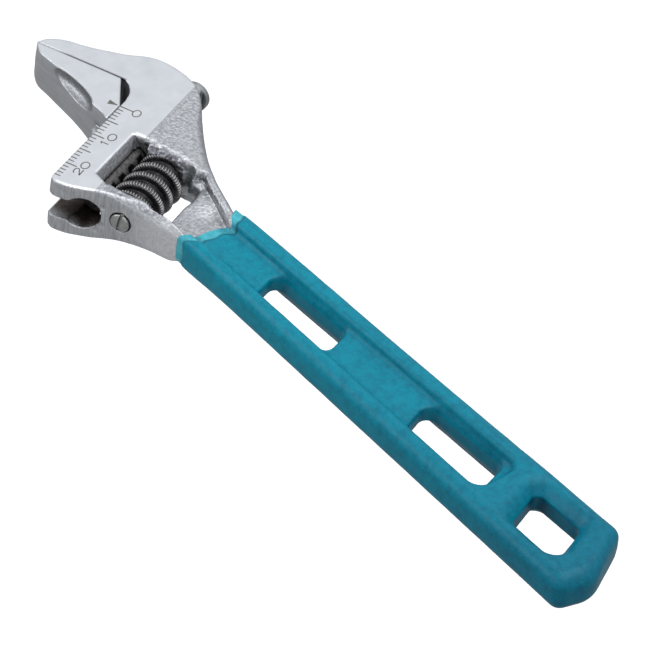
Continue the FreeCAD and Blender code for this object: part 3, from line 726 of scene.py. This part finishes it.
def handle_sdf(ax, inset, x0):
    """inset 0 = surface of the grip, 0.8 = steel core"""
    x = ax[0][:, None]
    y = ax[1][None, :]
    xx = x + 0 * y
    yy = y + 0 * x
    z = ax[2][None, None, :]
    zc = np.abs(z - MID)
    out = rounded_poly([(x0 - 12.0, HY + halfw(x0 - 12)), (x0 - 12.0, HY - halfw(x0 - 12)), (140.5, HY - halfw(140.5)),
                        (142.35, -7.9), (136.3, HY + halfw(136.3))], [0, 0, 2.6, 6.0, 2.4])
    d2 = poly_sdf(xx, yy, out) + inset
    # rails: rounded section, top follows the plateau near the end
    top = T / 2 - 1.75 - inset
    rn = 1.9 + 0.8 * sstep(xx, 35.0, 48.0)
    rf = 1.15 + 0.9 * sstep(xx, 55.0, 115.0)
    sd = sstep(yy - HY, -1.0, 1.0)
    d2 = d2 - (0.80 - 0.55 * sstep(xx, 36.0, 80.0)) * sd * (1 - sstep(xx, 118.0, 132.0))
    r = (rn * (1 - sd) + rf * sd - inset * 0.5)[:, :, None]
    side = 0.35 * (zc / 4.0) ** 2
    q0 = d2[:, :, None] + side + r
    q1 = zc - top + r
    D = np.minimum(np.maximum(q0, q1), 0) + np.sqrt(np.maximum(q0, 0) ** 2 + np.maximum(q1, 0) ** 2) - r
    # recess between the rails
    hwp = 3.55 + 0.012 * (xx - 40)
    pk2 = np.maximum(np.abs(yy - HY + 0.05) - hwp, np.maximum(x0 - 20 - xx, xx - 113.9))
    q0 = np.abs(yy - HY + 0.05) - hwp + 2.2
    q1 = xx - 113.9 + 2.2
    rb = np.minimum(np.maximum(q0, q1), 0) + np.sqrt(np.maximum(q0, 0) ** 2 + np.maximum(q1, 0) ** 2) - 2.2
    pk2 = np.maximum(rb, x0 - 20 - xx)
    upper = sstep(yy - HY, -1.0, 3.0)
    depth = 1.70 + 0.75 * inset * -1.0
    slope = 0.50 - 0.12 * upper
    dp = pk2[:, :, None] + slope[:, :, None] * (T / 2 - 1.75 - zc) - 0.9 - 0.9 * inset
    fl = (depth) - zc
    P = smax(dp * 0.9, fl, 1.3)
    D = smax(D, -P, 1.0)
    # slots, with softly rolled edges
    for pts, rad in ((SLOT1, 1.9), (SLOT2, 2.1)):
        ds = poly_sdf(xx, yy, rounded_poly(pts, rad)) - inset
        D = smax(D, -(ds[:, :, None] + 0 * zc), 0.9)
    dh = poly_sdf(xx, yy, rounded_poly(HANG, [1.3, 1.9, 2.2, 1.6])) - inset
    dh3 = (dh[:, :, None] - 2.3 * np.clip((zc - 1.5) / 2.6, 0, 1) ** 1.2) * 0.8
    D = smax(D, -dh3, 1.0)
    return D, d2


# the wavy edge of the dip across the handle
DIP_Y = [-8.5, -6.8, -5.3, -4.2, -3.2, 0.0, 2.6, 3.8, 5.4, 7.5]
DIP_X = [31.1, 32.0, 34.0, 34.4, 33.7, 33.6, 34.2, 34.9, 34.3, 32.9]


def build_grip():
    X0 = 33.4
    ax = grid_axes((X0 - 3.3, -15.2, MID - 4.6), (142.9, 4.2, MID + 4.6), H_GRIP)
    D, d2 = handle_sdf(ax, 0.0, X0)
    x = ax[0][:, None, None]
    y = ax[1][None, :, None]
    z = ax[2][None, None, :]
    zc = np.abs(z - MID)
    # dip line: a wavy front edge, each region starts at its own place
    yn = (y - HY)
    web = sstep(3.6 - np.abs(yn), 0.0, 1.2) * sstep(3.2 - zc, 0.0, 0.6)
    yn2 = yn - 0 * x
    start = np.interp(yn2, DIP_Y, DIP_X)
    start = start - 0.10 * np.clip(zc - 1.5, 0, 3) - 0.4 * web
    # two coats: thin collar first, full coat after
    s2 = start + 2.5 + 0.25 * np.sin(yn * 1.7 + zc)
    step = 0.22 * (1 - sstep(x - s2, -0.25, 0.25))
    Dg = D + step
    Dg = smax(Dg, start - x, 0.45)
    core, _ = handle_sdf(ax, 0.8, X0)
    # keep the coat closed at the front on the steel core
    Dg = smax(Dg, -(core), 0.05)
    P, F = surface_nets(Dg.astype(np.float32), (ax[0][0], ax[1][0], ax[2][0]), H_GRIP)
    N = vertex_normals(P, F)
    disp = 0.035 * fbm3(P, 0.28, 2, 2.0) + 0.012 * fbm3(P, 1.1, 2, 6.0)
    P = P + N * disp[:, None]
    yv = P[:, 1] - HY
    zv = np.abs(P[:, 2] - MID)
    webv = sstep(3.6 - np.abs(yv), 0.0, 1.2) * sstep(3.2 - zv, 0.0, 0.6)
    st = np.interp(yv, DIP_Y, DIP_X) - 0.10 * np.clip(zv - 1.5, 0, 3) - 0.4 * webv
    d = P[:, 0] - (st + 2.5 + 0.25 * np.sin(yv * 1.7 + zv))
    collar = 1 - sstep(d, -0.12, 0.12)
    seam = np.exp(-(d / 0.28) ** 2)
    # openness of the surface, painted into the colour as shade in hollows
    ao = field_shade(D, (ax[0][0], ax[1][0], ax[2][0]), H_GRIP, P, N, (1.0, 2.2, 4.0))
    # painted shade: a thin dark line along the inner top edge of the near rail, where the pocket's hidden wall is in
    # shadow
    hwe = 3.55 + 0.012 * (P[:, 0] - 40) + 0.45
    rim = np.exp(-((-yv - hwe) / 0.22) ** 2) * (zv > 2.0) * (1 - sstep(P[:, 0], 108.0, 113.0)) * (1 - collar)
    ao = ao * (1 - 0.62 * rim)
    return mk_mesh("dipped_grip", place_row(P), F, attrs={"collar": collar, "seam": seam, "ao": ao})


def build_core():
    """handle core under the grip"""
    h = 0.4
    ax = grid_axes((31.5, -15.0, MID - 4.4), (142.4, 4.0, MID + 4.4), h)
    D, _ = handle_sdf(ax, 0.86, 33.4)
    D = np.maximum(D, 35.4 - ax[0][:, None, None])
    P, F = surface_nets(D.astype(np.float32), (ax[0][0], ax[1][0], ax[2][0]), h)
    return mk_mesh("handle_core", place_row(P), F)


# -------------------------------------------------------------- scale marks
def slab(poly, z0, z1):
    """prism of a convex polygon in (u, v)"""
    n = len(poly)
    P = [(p[0], p[1], z0) for p in poly] + [(p[0], p[1], z1) for p in poly]
    return P, n


def marks():
    """ticks and figures as thin inlays standing a hair above the face"""
    zt, zb = 0.012, -0.03
    P, F = [], []

    def quad_prism(c):
        b = len(P)
        for zz in (zb, zt):
            for q in c:
                P.append((q[0], q[1], zz))
        F.extend([(b, b + 1, b + 2, b + 3), (b + 4, b + 7, b + 6, b + 5)])
        for k in range(4):
            k2 = (k + 1) % 4
            F.append((b + k, b + 4 + k, b + 4 + k2, b + k2))

    def ribbon(pts, w, closed=False):
        pts = np.array(pts, float)
        n = len(pts)
        rng = n if closed else n - 1
        nr = []
        for i in range(n):
            if closed:
                t = pts[(i + 1) % n] - pts[i - 1]
            elif i == 0:
                t = pts[1] - pts[0]
            elif i == n - 1:
                t = pts[-1] - pts[-2]
            else:
                t = pts[i + 1] - pts[i - 1]
            t = t / np.linalg.norm(t)
            nr.append(np.array([-t[1], t[0]]))
        b = len(P)
        for i in range(n):
            for s in (-1, 1):
                for zz in (zb, zt):
                    q = pts[i] + s * nr[i] * w / 2
                    P.append((q[0], q[1], zz))
        for i in range(rng):
            j = (i + 1) % n
            a, c = b + 4 * i, b + 4 * j
            F.append((a + 1, a + 3, c + 3, c + 1))
            F.append((a, c, c + 2, a + 2))
            F.append((a, a + 1, c + 1, c))
            F.append((a + 2, c + 2, c + 3, a + 3))
        if not closed:
            e = b + 4 * (n - 1)
            F.append((b, b + 2, b + 3, b + 1))
            F.append((e, e + 1, e + 3, e + 2))

    wt = 0.24
    for k in range(0, 25):
        L = 1.25 if k % 5 else 2.4
        if k == 0:
            L = 2.85
        v = float(k) if k else 0.0
        w = wt * (1.15 if k % 5 == 0 else 1.0)
        quad_prism([(-0.08, v - w / 2), (-0.08 - L, v - w / 2), (-0.08 - L, v + w / 2), (-0.08, v + w / 2)])

    def digit(ch, cu, cv):
        # height along v-reading: glyph up = +u, reading direction = -v
        w = 0.23

        def g(x, y):
            return (cu + y, cv - x)
        if ch == "0":
            pts = []
            for k in range(28):
                t = 2 * math.pi * k / 28
                pts.append(g(1.02 * math.cos(t), 0.76 * math.sin(t)))
            ribbon(pts, w, True)
        elif ch == "1":
            ribbon([g(0.05, -0.78), g(0.05, 0.78)], w)
            ribbon([g(0.05, 0.78), g(-0.42, 0.42)], w)
        elif ch == "2":
            pts = []
            for k in range(15):
                t = math.radians(170 - k * 205 / 14)
                pts.append((0.78 * math.cos(t), 0.28 + 0.48 * math.sin(t)))
            pts += [(-0.85, -0.76)]
            ribbon([g(*q) for q in pts], w)
            ribbon([g(-0.88, -0.76), g(0.88, -0.76)], w)
    digit("0", -3.75, 0.1)
    digit("1", -3.2, 11.1)
    digit("0", -3.55, 8.85)
    digit("2", -3.3, 21.0)
    digit("0", -3.6, 18.75)
    P = np.array(P)
    ob = mk_mesh("scale_marks", place_head(P), np.array(F), smooth=False)
    # pointer on the jaw: thin dark wedge
    p = np.array([(0.30, 0.0), (2.45, -0.55), (2.35, 0.75)])
    Pp = []
    for zz in (zb, zt):
        for q in p:
            Pp.append((q[0], q[1], zz))
    me = bpy.data.meshes.new("jaw_pointer")
    Pq = place_head(np.array(Pp))
    me.from_pydata([tuple(q) for q in Pq], [], [(0, 2, 1), (3, 4, 5), (0, 1, 4, 3), (1, 2, 5, 4), (2, 0, 3, 5)])
    ob2 = bpy.data.objects.new("jaw_pointer", me)
    bpy.context.scene.collection.objects.link(ob2)
    import bmesh
    for o in (ob, ob2):
        bm = bmesh.new()
        bm.from_mesh(o.data)
        bmesh.ops.recalc_face_normals(bm, faces=bm.faces)
        bm.to_mesh(o.data)
        bm.free()
    return ob, ob2


# ---------------------------------------------------------------- materials
def new_mat(name):
    m = bpy.data.materials.new(name)
    m.use_nodes = True
    nt = m.node_tree
    nt.nodes.clear()
    out = nt.nodes.new("ShaderNodeOutputMaterial")
    b = nt.nodes.new("ShaderNodeBsdfPrincipled")
    nt.links.new(b.outputs[0], out.inputs[0])
    return m, nt, b


def node(nt, kind, **kw):
    n = nt.nodes.new(kind)
    for k, v in kw.items():
        setattr(n, k, v)
    return n


def attr(nt, name):
    n = nt.nodes.new("ShaderNodeAttribute")
    n.attribute_name = name
    return n.outputs["Fac"]


def noise(nt, vec, scale, detail=3.0, rough=0.5, dist=0.0):
    n = nt.nodes.new("ShaderNodeTexNoise")
    n.inputs["Scale"].default_value = scale
    n.inputs["Detail"].default_value = detail
    n.inputs["Roughness"].default_value = rough
    n.inputs["Distortion"].default_value = dist
    nt.links.new(vec, n.inputs["Vector"])
    return n.outputs["Fac"]


def mapping(nt, vec, rot=(0, 0, 0), scale=(1, 1, 1)):
    n = nt.nodes.new("ShaderNodeMapping")
    n.inputs["Rotation"].default_value = rot
    n.inputs["Scale"].default_value = scale
    nt.links.new(vec, n.inputs["Vector"])
    return n.outputs["Vector"]


def ramp(nt, fac, stops):
    n = nt.nodes.new("ShaderNodeValToRGB")
    e = n.color_ramp.elements
    e[0].position, e[0].color = stops[0][0], stops[0][1]
    e[1].position, e[1].color = stops[-1][0], stops[-1][1]
    for pos, col in stops[1:-1]:
        x = e.new(pos)
        x.color = col
    nt.links.new(fac, n.inputs["Fac"])
    return n.outputs["Color"]


def mixc(nt, fac, a, b, mode="MIX"):
    n = nt.nodes.new("ShaderNodeMix")
    n.data_type = "RGBA"
    n.blend_type = mode
    if isinstance(fac, float):
        n.inputs["Factor"].default_value = fac
    else:
        nt.links.new(fac, n.inputs["Factor"])
    for v, s in ((a, "A"), (b, "B")):
        inp = [i for i in n.inputs if i.name == s and i.type == "RGBA"][0]
        if isinstance(v, tuple):
            inp.default_value = v
        else:
            nt.links.new(v, inp)
    return [o for o in n.outputs if o.type == "RGBA"][0]


def math_n(nt, op, a, b=None, clamp=False):
    n = nt.nodes.new("ShaderNodeMath")
    n.operation = op
    n.use_clamp = clamp
    for i, v in enumerate((a, b)):
        if v is None:
            continue
        if isinstance(v, (int, float)):
            n.inputs[i].default_value = v
        else:
            nt.links.new(v, n.inputs[i])
    return n.outputs[0]


def bump(nt, height, strength, dist, normal=None):
    n = nt.nodes.new("ShaderNodeBump")
    n.inputs["Strength"].default_value = strength
    n.inputs["Distance"].default_value = dist
    nt.links.new(height, n.inputs["Height"])
    if normal is not None:
        nt.links.new(normal, n.inputs["Normal"])
    return n.outputs["Normal"]


def g(v, a=1.0):
    return (v, v, v, a)


def steel_body_material(name, jaw=False):
    m, nt, b = new_mat(name)
    tc = nt.nodes.new("ShaderNodeTexCoord")
    obj = tc.outputs["Object"]
    b.inputs["Metallic"].default_value = 1.0
    rough_m = attr(nt, "rough")
    # forged skin: orange peel
    peel = noise(nt, obj, 1700.0, 2.0, 0.5)
    peel2 = noise(nt, obj, 4200.0, 2.0, 0.6)
    blot = noise(nt, obj, 260.0, 3.0, 0.55)
    fine = noise(nt, obj, 9000.0, 2.0, 0.5)
    # ground face: nearly clean, faint drift
    face_col = ramp(nt, blot, [(0.25, (0.70, 0.72, 0.745, 1)), (0.75, (0.80, 0.815, 0.84, 1))])
    forg_col = ramp(nt, peel, [(0.30, (0.32, 0.328, 0.345, 1)), (0.62, (0.50, 0.512, 0.53, 1)), (0.85, (0.62, 0.63, 0.645, 1))])
    col = mixc(nt, rough_m, face_col, forg_col)
    if not jaw:
        # vertical grinding streaks on the ground sides
        st = mapping(nt, obj, (0, 0, math.radians(-68.5)), (3200.0, 3200.0, 260.0))
        sn = noise(nt, st, 1.0, 3.0, 0.6)
        scol = ramp(nt, sn, [(0.28, (0.42, 0.43, 0.45, 1)), (0.55, (0.66, 0.67, 0.69, 1)), (0.8, (0.85, 0.85, 0.86, 1))])
        streak = attr(nt, "streak")
        # painted light: a lighter colour on the sideways faces of the near arm
        arm_painted_light_col = ramp(nt, peel, [(0.30, (0.74, 0.75, 0.77, 1)), (0.75, (0.94, 0.945, 0.96, 1))])
        col = mixc(nt, math_n(nt, "MULTIPLY", attr(nt, "near_arm_painted_light"), 0.95), col, arm_painted_light_col)
        col = mixc(nt, math_n(nt, "MULTIPLY", streak, 0.75), col, scol)
        # painted shade: dark brown deep in the channel and the key slot, darker further in
        cav = attr(nt, "cav")
        brown = ramp(nt, blot, [(0.3, (0.035, 0.026, 0.022, 1)), (0.7, (0.12, 0.10, 0.09, 1))])
        col = mixc(nt, cav, col, brown)
        rimm = attr(nt, "rim")
        rk = noise(nt, obj, 1500.0, 3.0, 0.6)
        rimf = math_n(nt, "MULTIPLY", rimm, ramp(nt, rk, [(0.40, g(0.0)), (0.55, g(0.9))]))
        col = mixc(nt, rimf, col, (0.10, 0.10, 0.12, 1))
    else:
        # darker colour on the scooped hollows: partly their rougher unground finish, partly painted shade against the
        # lamp's reflection
        sc = attr(nt, "scoop")
        scn = noise(nt, obj, 2600.0, 3.0, 0.6)
        scc = ramp(nt, scn, [(0.3, (0.20, 0.205, 0.215, 1)), (0.7, (0.40, 0.408, 0.42, 1))])
        col = mixc(nt, sc, col, scc)
        flank = ramp(nt, noise(nt, mapping(nt, obj, (0, 0, math.radians(-21.5)), (120.0, 900.0, 900.0)), 1.0, 2.0, 0.5),
                     [(0.3, (0.50, 0.51, 0.53, 1)), (0.7, (0.62, 0.63, 0.65, 1))])
        k = math_n(nt, "MULTIPLY", rough_m, math_n(nt, "SUBTRACT", 1.0, sc))
        col = mixc(nt, math_n(nt, "MULTIPLY", k, 0.85), col, flank)
        # painted shade: the rail in the window is mixed towards near black
        rail_shade_fac = attr(nt, "rail")
        col = mixc(nt, math_n(nt, "MULTIPLY", rail_shade_fac, 0.97), col, ramp(nt, peel, [(0.3, (0.035, 0.033, 0.033, 1)), (0.7, (0.13, 0.126, 0.122, 1))]))
    # painted shade: the baked openness darkens the steel colour in corners, creases and recesses
    aof = ramp(nt, attr(nt, "ao"), [(0.30, g(0.42)), (0.80, g(1.0))])
    col = mixc(nt, 1.0, col, aof, "MULTIPLY")
    # painted shade: a dark line along the closing line between the jaws
    col = mixc(nt, math_n(nt, "MULTIPLY", attr(nt, "jaw_gap_painted_shade"), 0.85), col, (0.05, 0.05, 0.055, 1))
    nt.links.new(col, b.inputs["Base Color"])
    r1 = ramp(nt, fine, [(0.3, g(0.30)), (0.7, g(0.38))])
    r2 = ramp(nt, peel2, [(0.3, g(0.34)), (0.7, g(0.50))])
    rmix = mixc(nt, rough_m, r1, r2)
    nt.links.new(rmix, b.inputs["Roughness"])
    hgt = math_n(nt, "MULTIPLY", peel, math_n(nt, "MULTIPLY", rough_m, 0.9 if not jaw else 0.22))
    n1 = bump(nt, hgt, 0.55, 0.00022)
    fl = noise(nt, mapping(nt, obj, (0, 0, math.radians(40)), (900.0, 14000.0, 3000.0)), 1.0, 2.0, 0.5)
    n2 = bump(nt, fl, 0.05, 0.00004, n1)
    if not jaw:
        sthg = math_n(nt, "MULTIPLY", sn, streak)
        n2 = bump(nt, sthg, 0.5, 0.00012, n2)
    nt.links.new(n2, b.inputs["Normal"])
    return m


def worm_material():
    m, nt, b = new_mat("dark_oxide_steel")
    tc = nt.nodes.new("ShaderNodeTexCoord")
    obj = tc.outputs["Object"]
    b.inputs["Metallic"].default_value = 1.0
    crest = attr(nt, "crest")
    kn = attr(nt, "kn")
    n = noise(nt, obj, 1800.0, 3.0, 0.6)
    base = ramp(nt, n, [(0.3, (0.040, 0.038, 0.040, 1)), (0.7, (0.105, 0.10, 0.105, 1))])
    worn = ramp(nt, n, [(0.3, (0.22, 0.21, 0.21, 1)), (0.7, (0.46, 0.45, 0.45, 1))])
    cf = math_n(nt, "POWER", crest, 6.0)
    cf = math_n(nt, "MULTIPLY", cf, math_n(nt, "SUBTRACT", 1.0, math_n(nt, "MULTIPLY", kn, 0.85)))
    col = mixc(nt, cf, base, worn)
    nt.links.new(col, b.inputs["Base Color"])
    nt.links.new(ramp(nt, n, [(0.3, g(0.30)), (0.7, g(0.46))]), b.inputs["Roughness"])
    nt.links.new(bump(nt, n, 0.25, 0.00008), b.inputs["Normal"])
    return m


def screw_material(name, dark=0.5):
    m, nt, b = new_mat(name)
    tc = nt.nodes.new("ShaderNodeTexCoord")
    obj = tc.outputs["Object"]
    b.inputs["Metallic"].default_value = 1.0
    n = noise(nt, obj, 1500.0, 3.0, 0.6)
    col = ramp(nt, n, [(0.3, (0.34 * dark * 2, 0.34 * dark * 2, 0.33 * dark * 2, 1)), (0.7, (0.52 * dark * 2, 0.52 * dark * 2, 0.50 * dark * 2, 1))])
    nt.links.new(col, b.inputs["Base Color"])
    nt.links.new(ramp(nt, n, [(0.3, g(0.3)), (0.7, g(0.42))]), b.inputs["Roughness"])
    nt.links.new(bump(nt, n, 0.2, 0.00006), b.inputs["Normal"])
    return m


def grip_material():
    m, nt, b = new_mat("vinyl_dip")
    tc = nt.nodes.new("ShaderNodeTexCoord")
    obj = tc.outputs["Object"]
    cl = noise(nt, obj, 55.0, 3.0, 0.5)
    fleck = noise(nt, obj, 2300.0, 2.0, 0.6)
    mott = noise(nt, obj, 620.0, 3.0, 0.65)
    c1 = ramp(nt, cl, [(0.3, (0.0, 0.165, 0.236, 1)), (0.7, (0.0, 0.207, 0.288, 1))])
    collar = attr(nt, "collar")
    c2 = mixc(nt, collar, c1, (0.07, 0.345, 0.41, 1))
    c3 = mixc(nt, ramp(nt, mott, [(0.36, g(0.42)), (0.58, g(0.0))]), c2, (0.0, 0.095, 0.150, 1))
    c3 = mixc(nt, ramp(nt, fleck, [(0.56, g(0.0)), (0.70, g(0.36))]), c3, (0.0, 0.28, 0.37, 1))
    c3 = mixc(nt, math_n(nt, "MULTIPLY", attr(nt, "seam"), 0.75), c3, (0.001, 0.045, 0.075, 1))
    # painted shade: the baked openness darkens the grip colour in the pocket, slots and creases
    aog = ramp(nt, attr(nt, "ao"), [(0.25, (0.02, 0.20, 0.26, 1)), (0.60, (0.30, 0.52, 0.58, 1)), (0.90, g(1.0))])
    c3 = mixc(nt, 1.0, c3, aog, "MULTIPLY")
    sep = nt.nodes.new("ShaderNodeSeparateXYZ")
    nt.links.new(obj, sep.inputs[0])
    fx = math_n(nt, "MULTIPLY", math_n(nt, "ADD", sep.outputs[0], 0.026), 9.0, True)
    c3 = mixc(nt, 1.0, c3, ramp(nt, fx, [(0.0, (1.0, 1.24, 1.22, 1)), (0.45, (0.9, 1.0, 1.02, 1)), (1.0, (0.8, 0.74, 0.80, 1))]), "MULTIPLY")
    nt.links.new(c3, b.inputs["Base Color"])
    nt.links.new(ramp(nt, cl, [(0.3, g(0.33)), (0.7, g(0.43))]), b.inputs["Roughness"])
    b.inputs["IOR"].default_value = 1.5
    b.inputs["Specular IOR Level"].default_value = 0.18
    pe = noise(nt, obj, 900.0, 2.0, 0.5)
    n1 = bump(nt, pe, 0.30, 0.00016)
    n2 = bump(nt, fleck, 0.30, 0.00007, n1)
    nt.links.new(n2, b.inputs["Normal"])
    return m


def ink_material():
    m, nt, b = new_mat("etched_marks")
    tc = nt.nodes.new("ShaderNodeTexCoord")
    n = noise(nt, tc.outputs["Object"], 2200.0, 3.0, 0.6)
    nt.links.new(ramp(nt, n, [(0.3, (0.055, 0.055, 0.045, 1)), (0.7, (0.12, 0.12, 0.10, 1))]), b.inputs["Base Color"])
    nt.links.new(ramp(nt, n, [(0.3, g(0.5)), (0.7, g(0.7))]), b.inputs["Roughness"])
    return m


# ------------------------------------------------------------------- build
body = build_head()
core = build_core()
jaw = build_jaw()
worm = build_worm()
screw = build_screw()
axle = build_axle()
spring = build_spring()
grip = build_grip()
ticks, pointer = marks()

m_body = steel_body_material("forged_and_ground_steel")
m_jaw = steel_body_material("jaw_plate_steel", jaw=True)
m_worm = worm_material()
m_screw = screw_material("dull_screw_steel")
m_spring = screw_material("spring_wire", 0.35)
m_grip = grip_material()
m_ink = ink_material()

for ob, mat, bod, slot in ((body, m_body, "frame", "forged_steel"), (core, m_screw, "frame", "forged_steel"),
                           (jaw, m_jaw, "jaw", "jaw_steel"), (worm, m_worm, "worm", "dark_steel"),
                           (screw, m_screw, "frame", "screw_steel"), (axle, m_screw, "frame", "screw_steel"),
                           (spring, m_spring, "frame", "screw_steel"), (grip, m_grip, "frame", "vinyl_grip"),
                           (ticks, m_ink, "frame", "dark_steel"), (pointer, m_ink, "jaw", "dark_steel")):
    ob.data.materials.append(mat)
    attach(ob, bod)

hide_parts("frame_body")
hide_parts("movable_jaw")
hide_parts("worm")
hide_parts("worm_axle_screw")
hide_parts("worm_spring")
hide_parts("handle_grip")

# -------------------------------------------------------------------- stage
fm = bpy.data.meshes.new("floor")
fm.from_pydata([(-3, -3, 0), (3, -3, 0), (3, 3, 0), (-3, 3, 0)], [], [(0, 1, 2, 3)])
floor = bpy.data.objects.new("floor", fm)
bpy.context.scene.collection.objects.link(floor)
floor.location.z = -0.12
mf, nt, b = new_mat("pale_floor")
b.inputs["Base Color"].default_value = (0.93, 0.93, 0.93, 1)
b.inputs["Roughness"].default_value = 0.9
fm.materials.append(mf)
floor.visible_diffuse = False
floor.visible_glossy = False

w = bpy.data.worlds.new("studio")
bpy.context.scene.world = w
w.use_nodes = True
bg = w.node_tree.nodes["Background"]
# an even pale dome: bright overhead, dimmer towards and below the horizon
wt = w.node_tree
wtc = wt.nodes.new("ShaderNodeTexCoord")
wsx = wt.nodes.new("ShaderNodeSeparateXYZ")
wt.links.new(wtc.outputs["Generated"], wsx.inputs[0])
wmp = wt.nodes.new("ShaderNodeMapRange")
wmp.inputs["From Min"].default_value = -1.0
wmp.inputs["From Max"].default_value = 1.0
wt.links.new(wsx.outputs["Z"], wmp.inputs["Value"])
wcol = ramp(wt, wmp.outputs["Result"], [(0.20, (0.42, 0.428, 0.44, 1)), (0.46, (0.47, 0.48, 0.495, 1)),
                                        (0.60, (0.60, 0.615, 0.64, 1)), (0.80, (0.86, 0.885, 0.92, 1)),
                                        (1.0, (0.93, 0.96, 1.0, 1))])
wt.links.new(wcol, bg.inputs["Color"])
bg.inputs["Strength"].default_value = 0.92
bpy.context.scene.view_settings.view_transform = "Standard"
bpy.context.scene.view_settings.look = "None"


def area(name, loc, target, size, power, col=(1, 1, 1)):
    ld = bpy.data.lights.new(name, "AREA")
    ld.shape = "RECTANGLE"
    ld.size, ld.size_y = size
    ld.energy = power
    ld.color = col
    o = bpy.data.objects.new(name, ld)
    bpy.context.scene.collection.objects.link(o)
    o.location = loc
    from mathutils import Vector
    d = Vector(target) - Vector(loc)
    o.rotation_euler = d.to_track_quat("-Z", "Y").to_euler()
    return o


area("key_top", (0.1, 0.15, 1.1), (0, 0, 0), (1.1, 1.1), 7.5)
area("fill_left", (-0.55, -0.6, 0.40), (0, 0, 0), (0.5, 0.35), 1.7)

# ------------------------------------------------------------------- camera
from mathutils import Matrix
cd = bpy.data.cameras.new("camera")
cam = bpy.data.objects.new("camera", cd)
bpy.context.scene.collection.objects.link(cam)
cd.sensor_fit = "HORIZONTAL"
cd.sensor_width = 36.0
cd.lens = 4500.0 / 650.0 * 36.0
cd.clip_start = 0.01
cd.clip_end = 20.0
right = np.array((0.640957, 0.760523, 0.103818))
down = np.array((0.558411, -0.369211, -0.742873))
fwd = np.array((-0.526641, 0.534123, -0.661333))
pos = np.array((492.866, -437.374, 532.483))
px = place_row(pos[None, :])[0]
cam.matrix_world = Matrix((
    (right[0], -down[0], -fwd[0], px[0]),
    (right[1], -down[1], -fwd[1], px[1]),
    (right[2], -down[2], -fwd[2], px[2]),
    (0, 0, 0, 1)))
bpy.context.scene.camera = cam
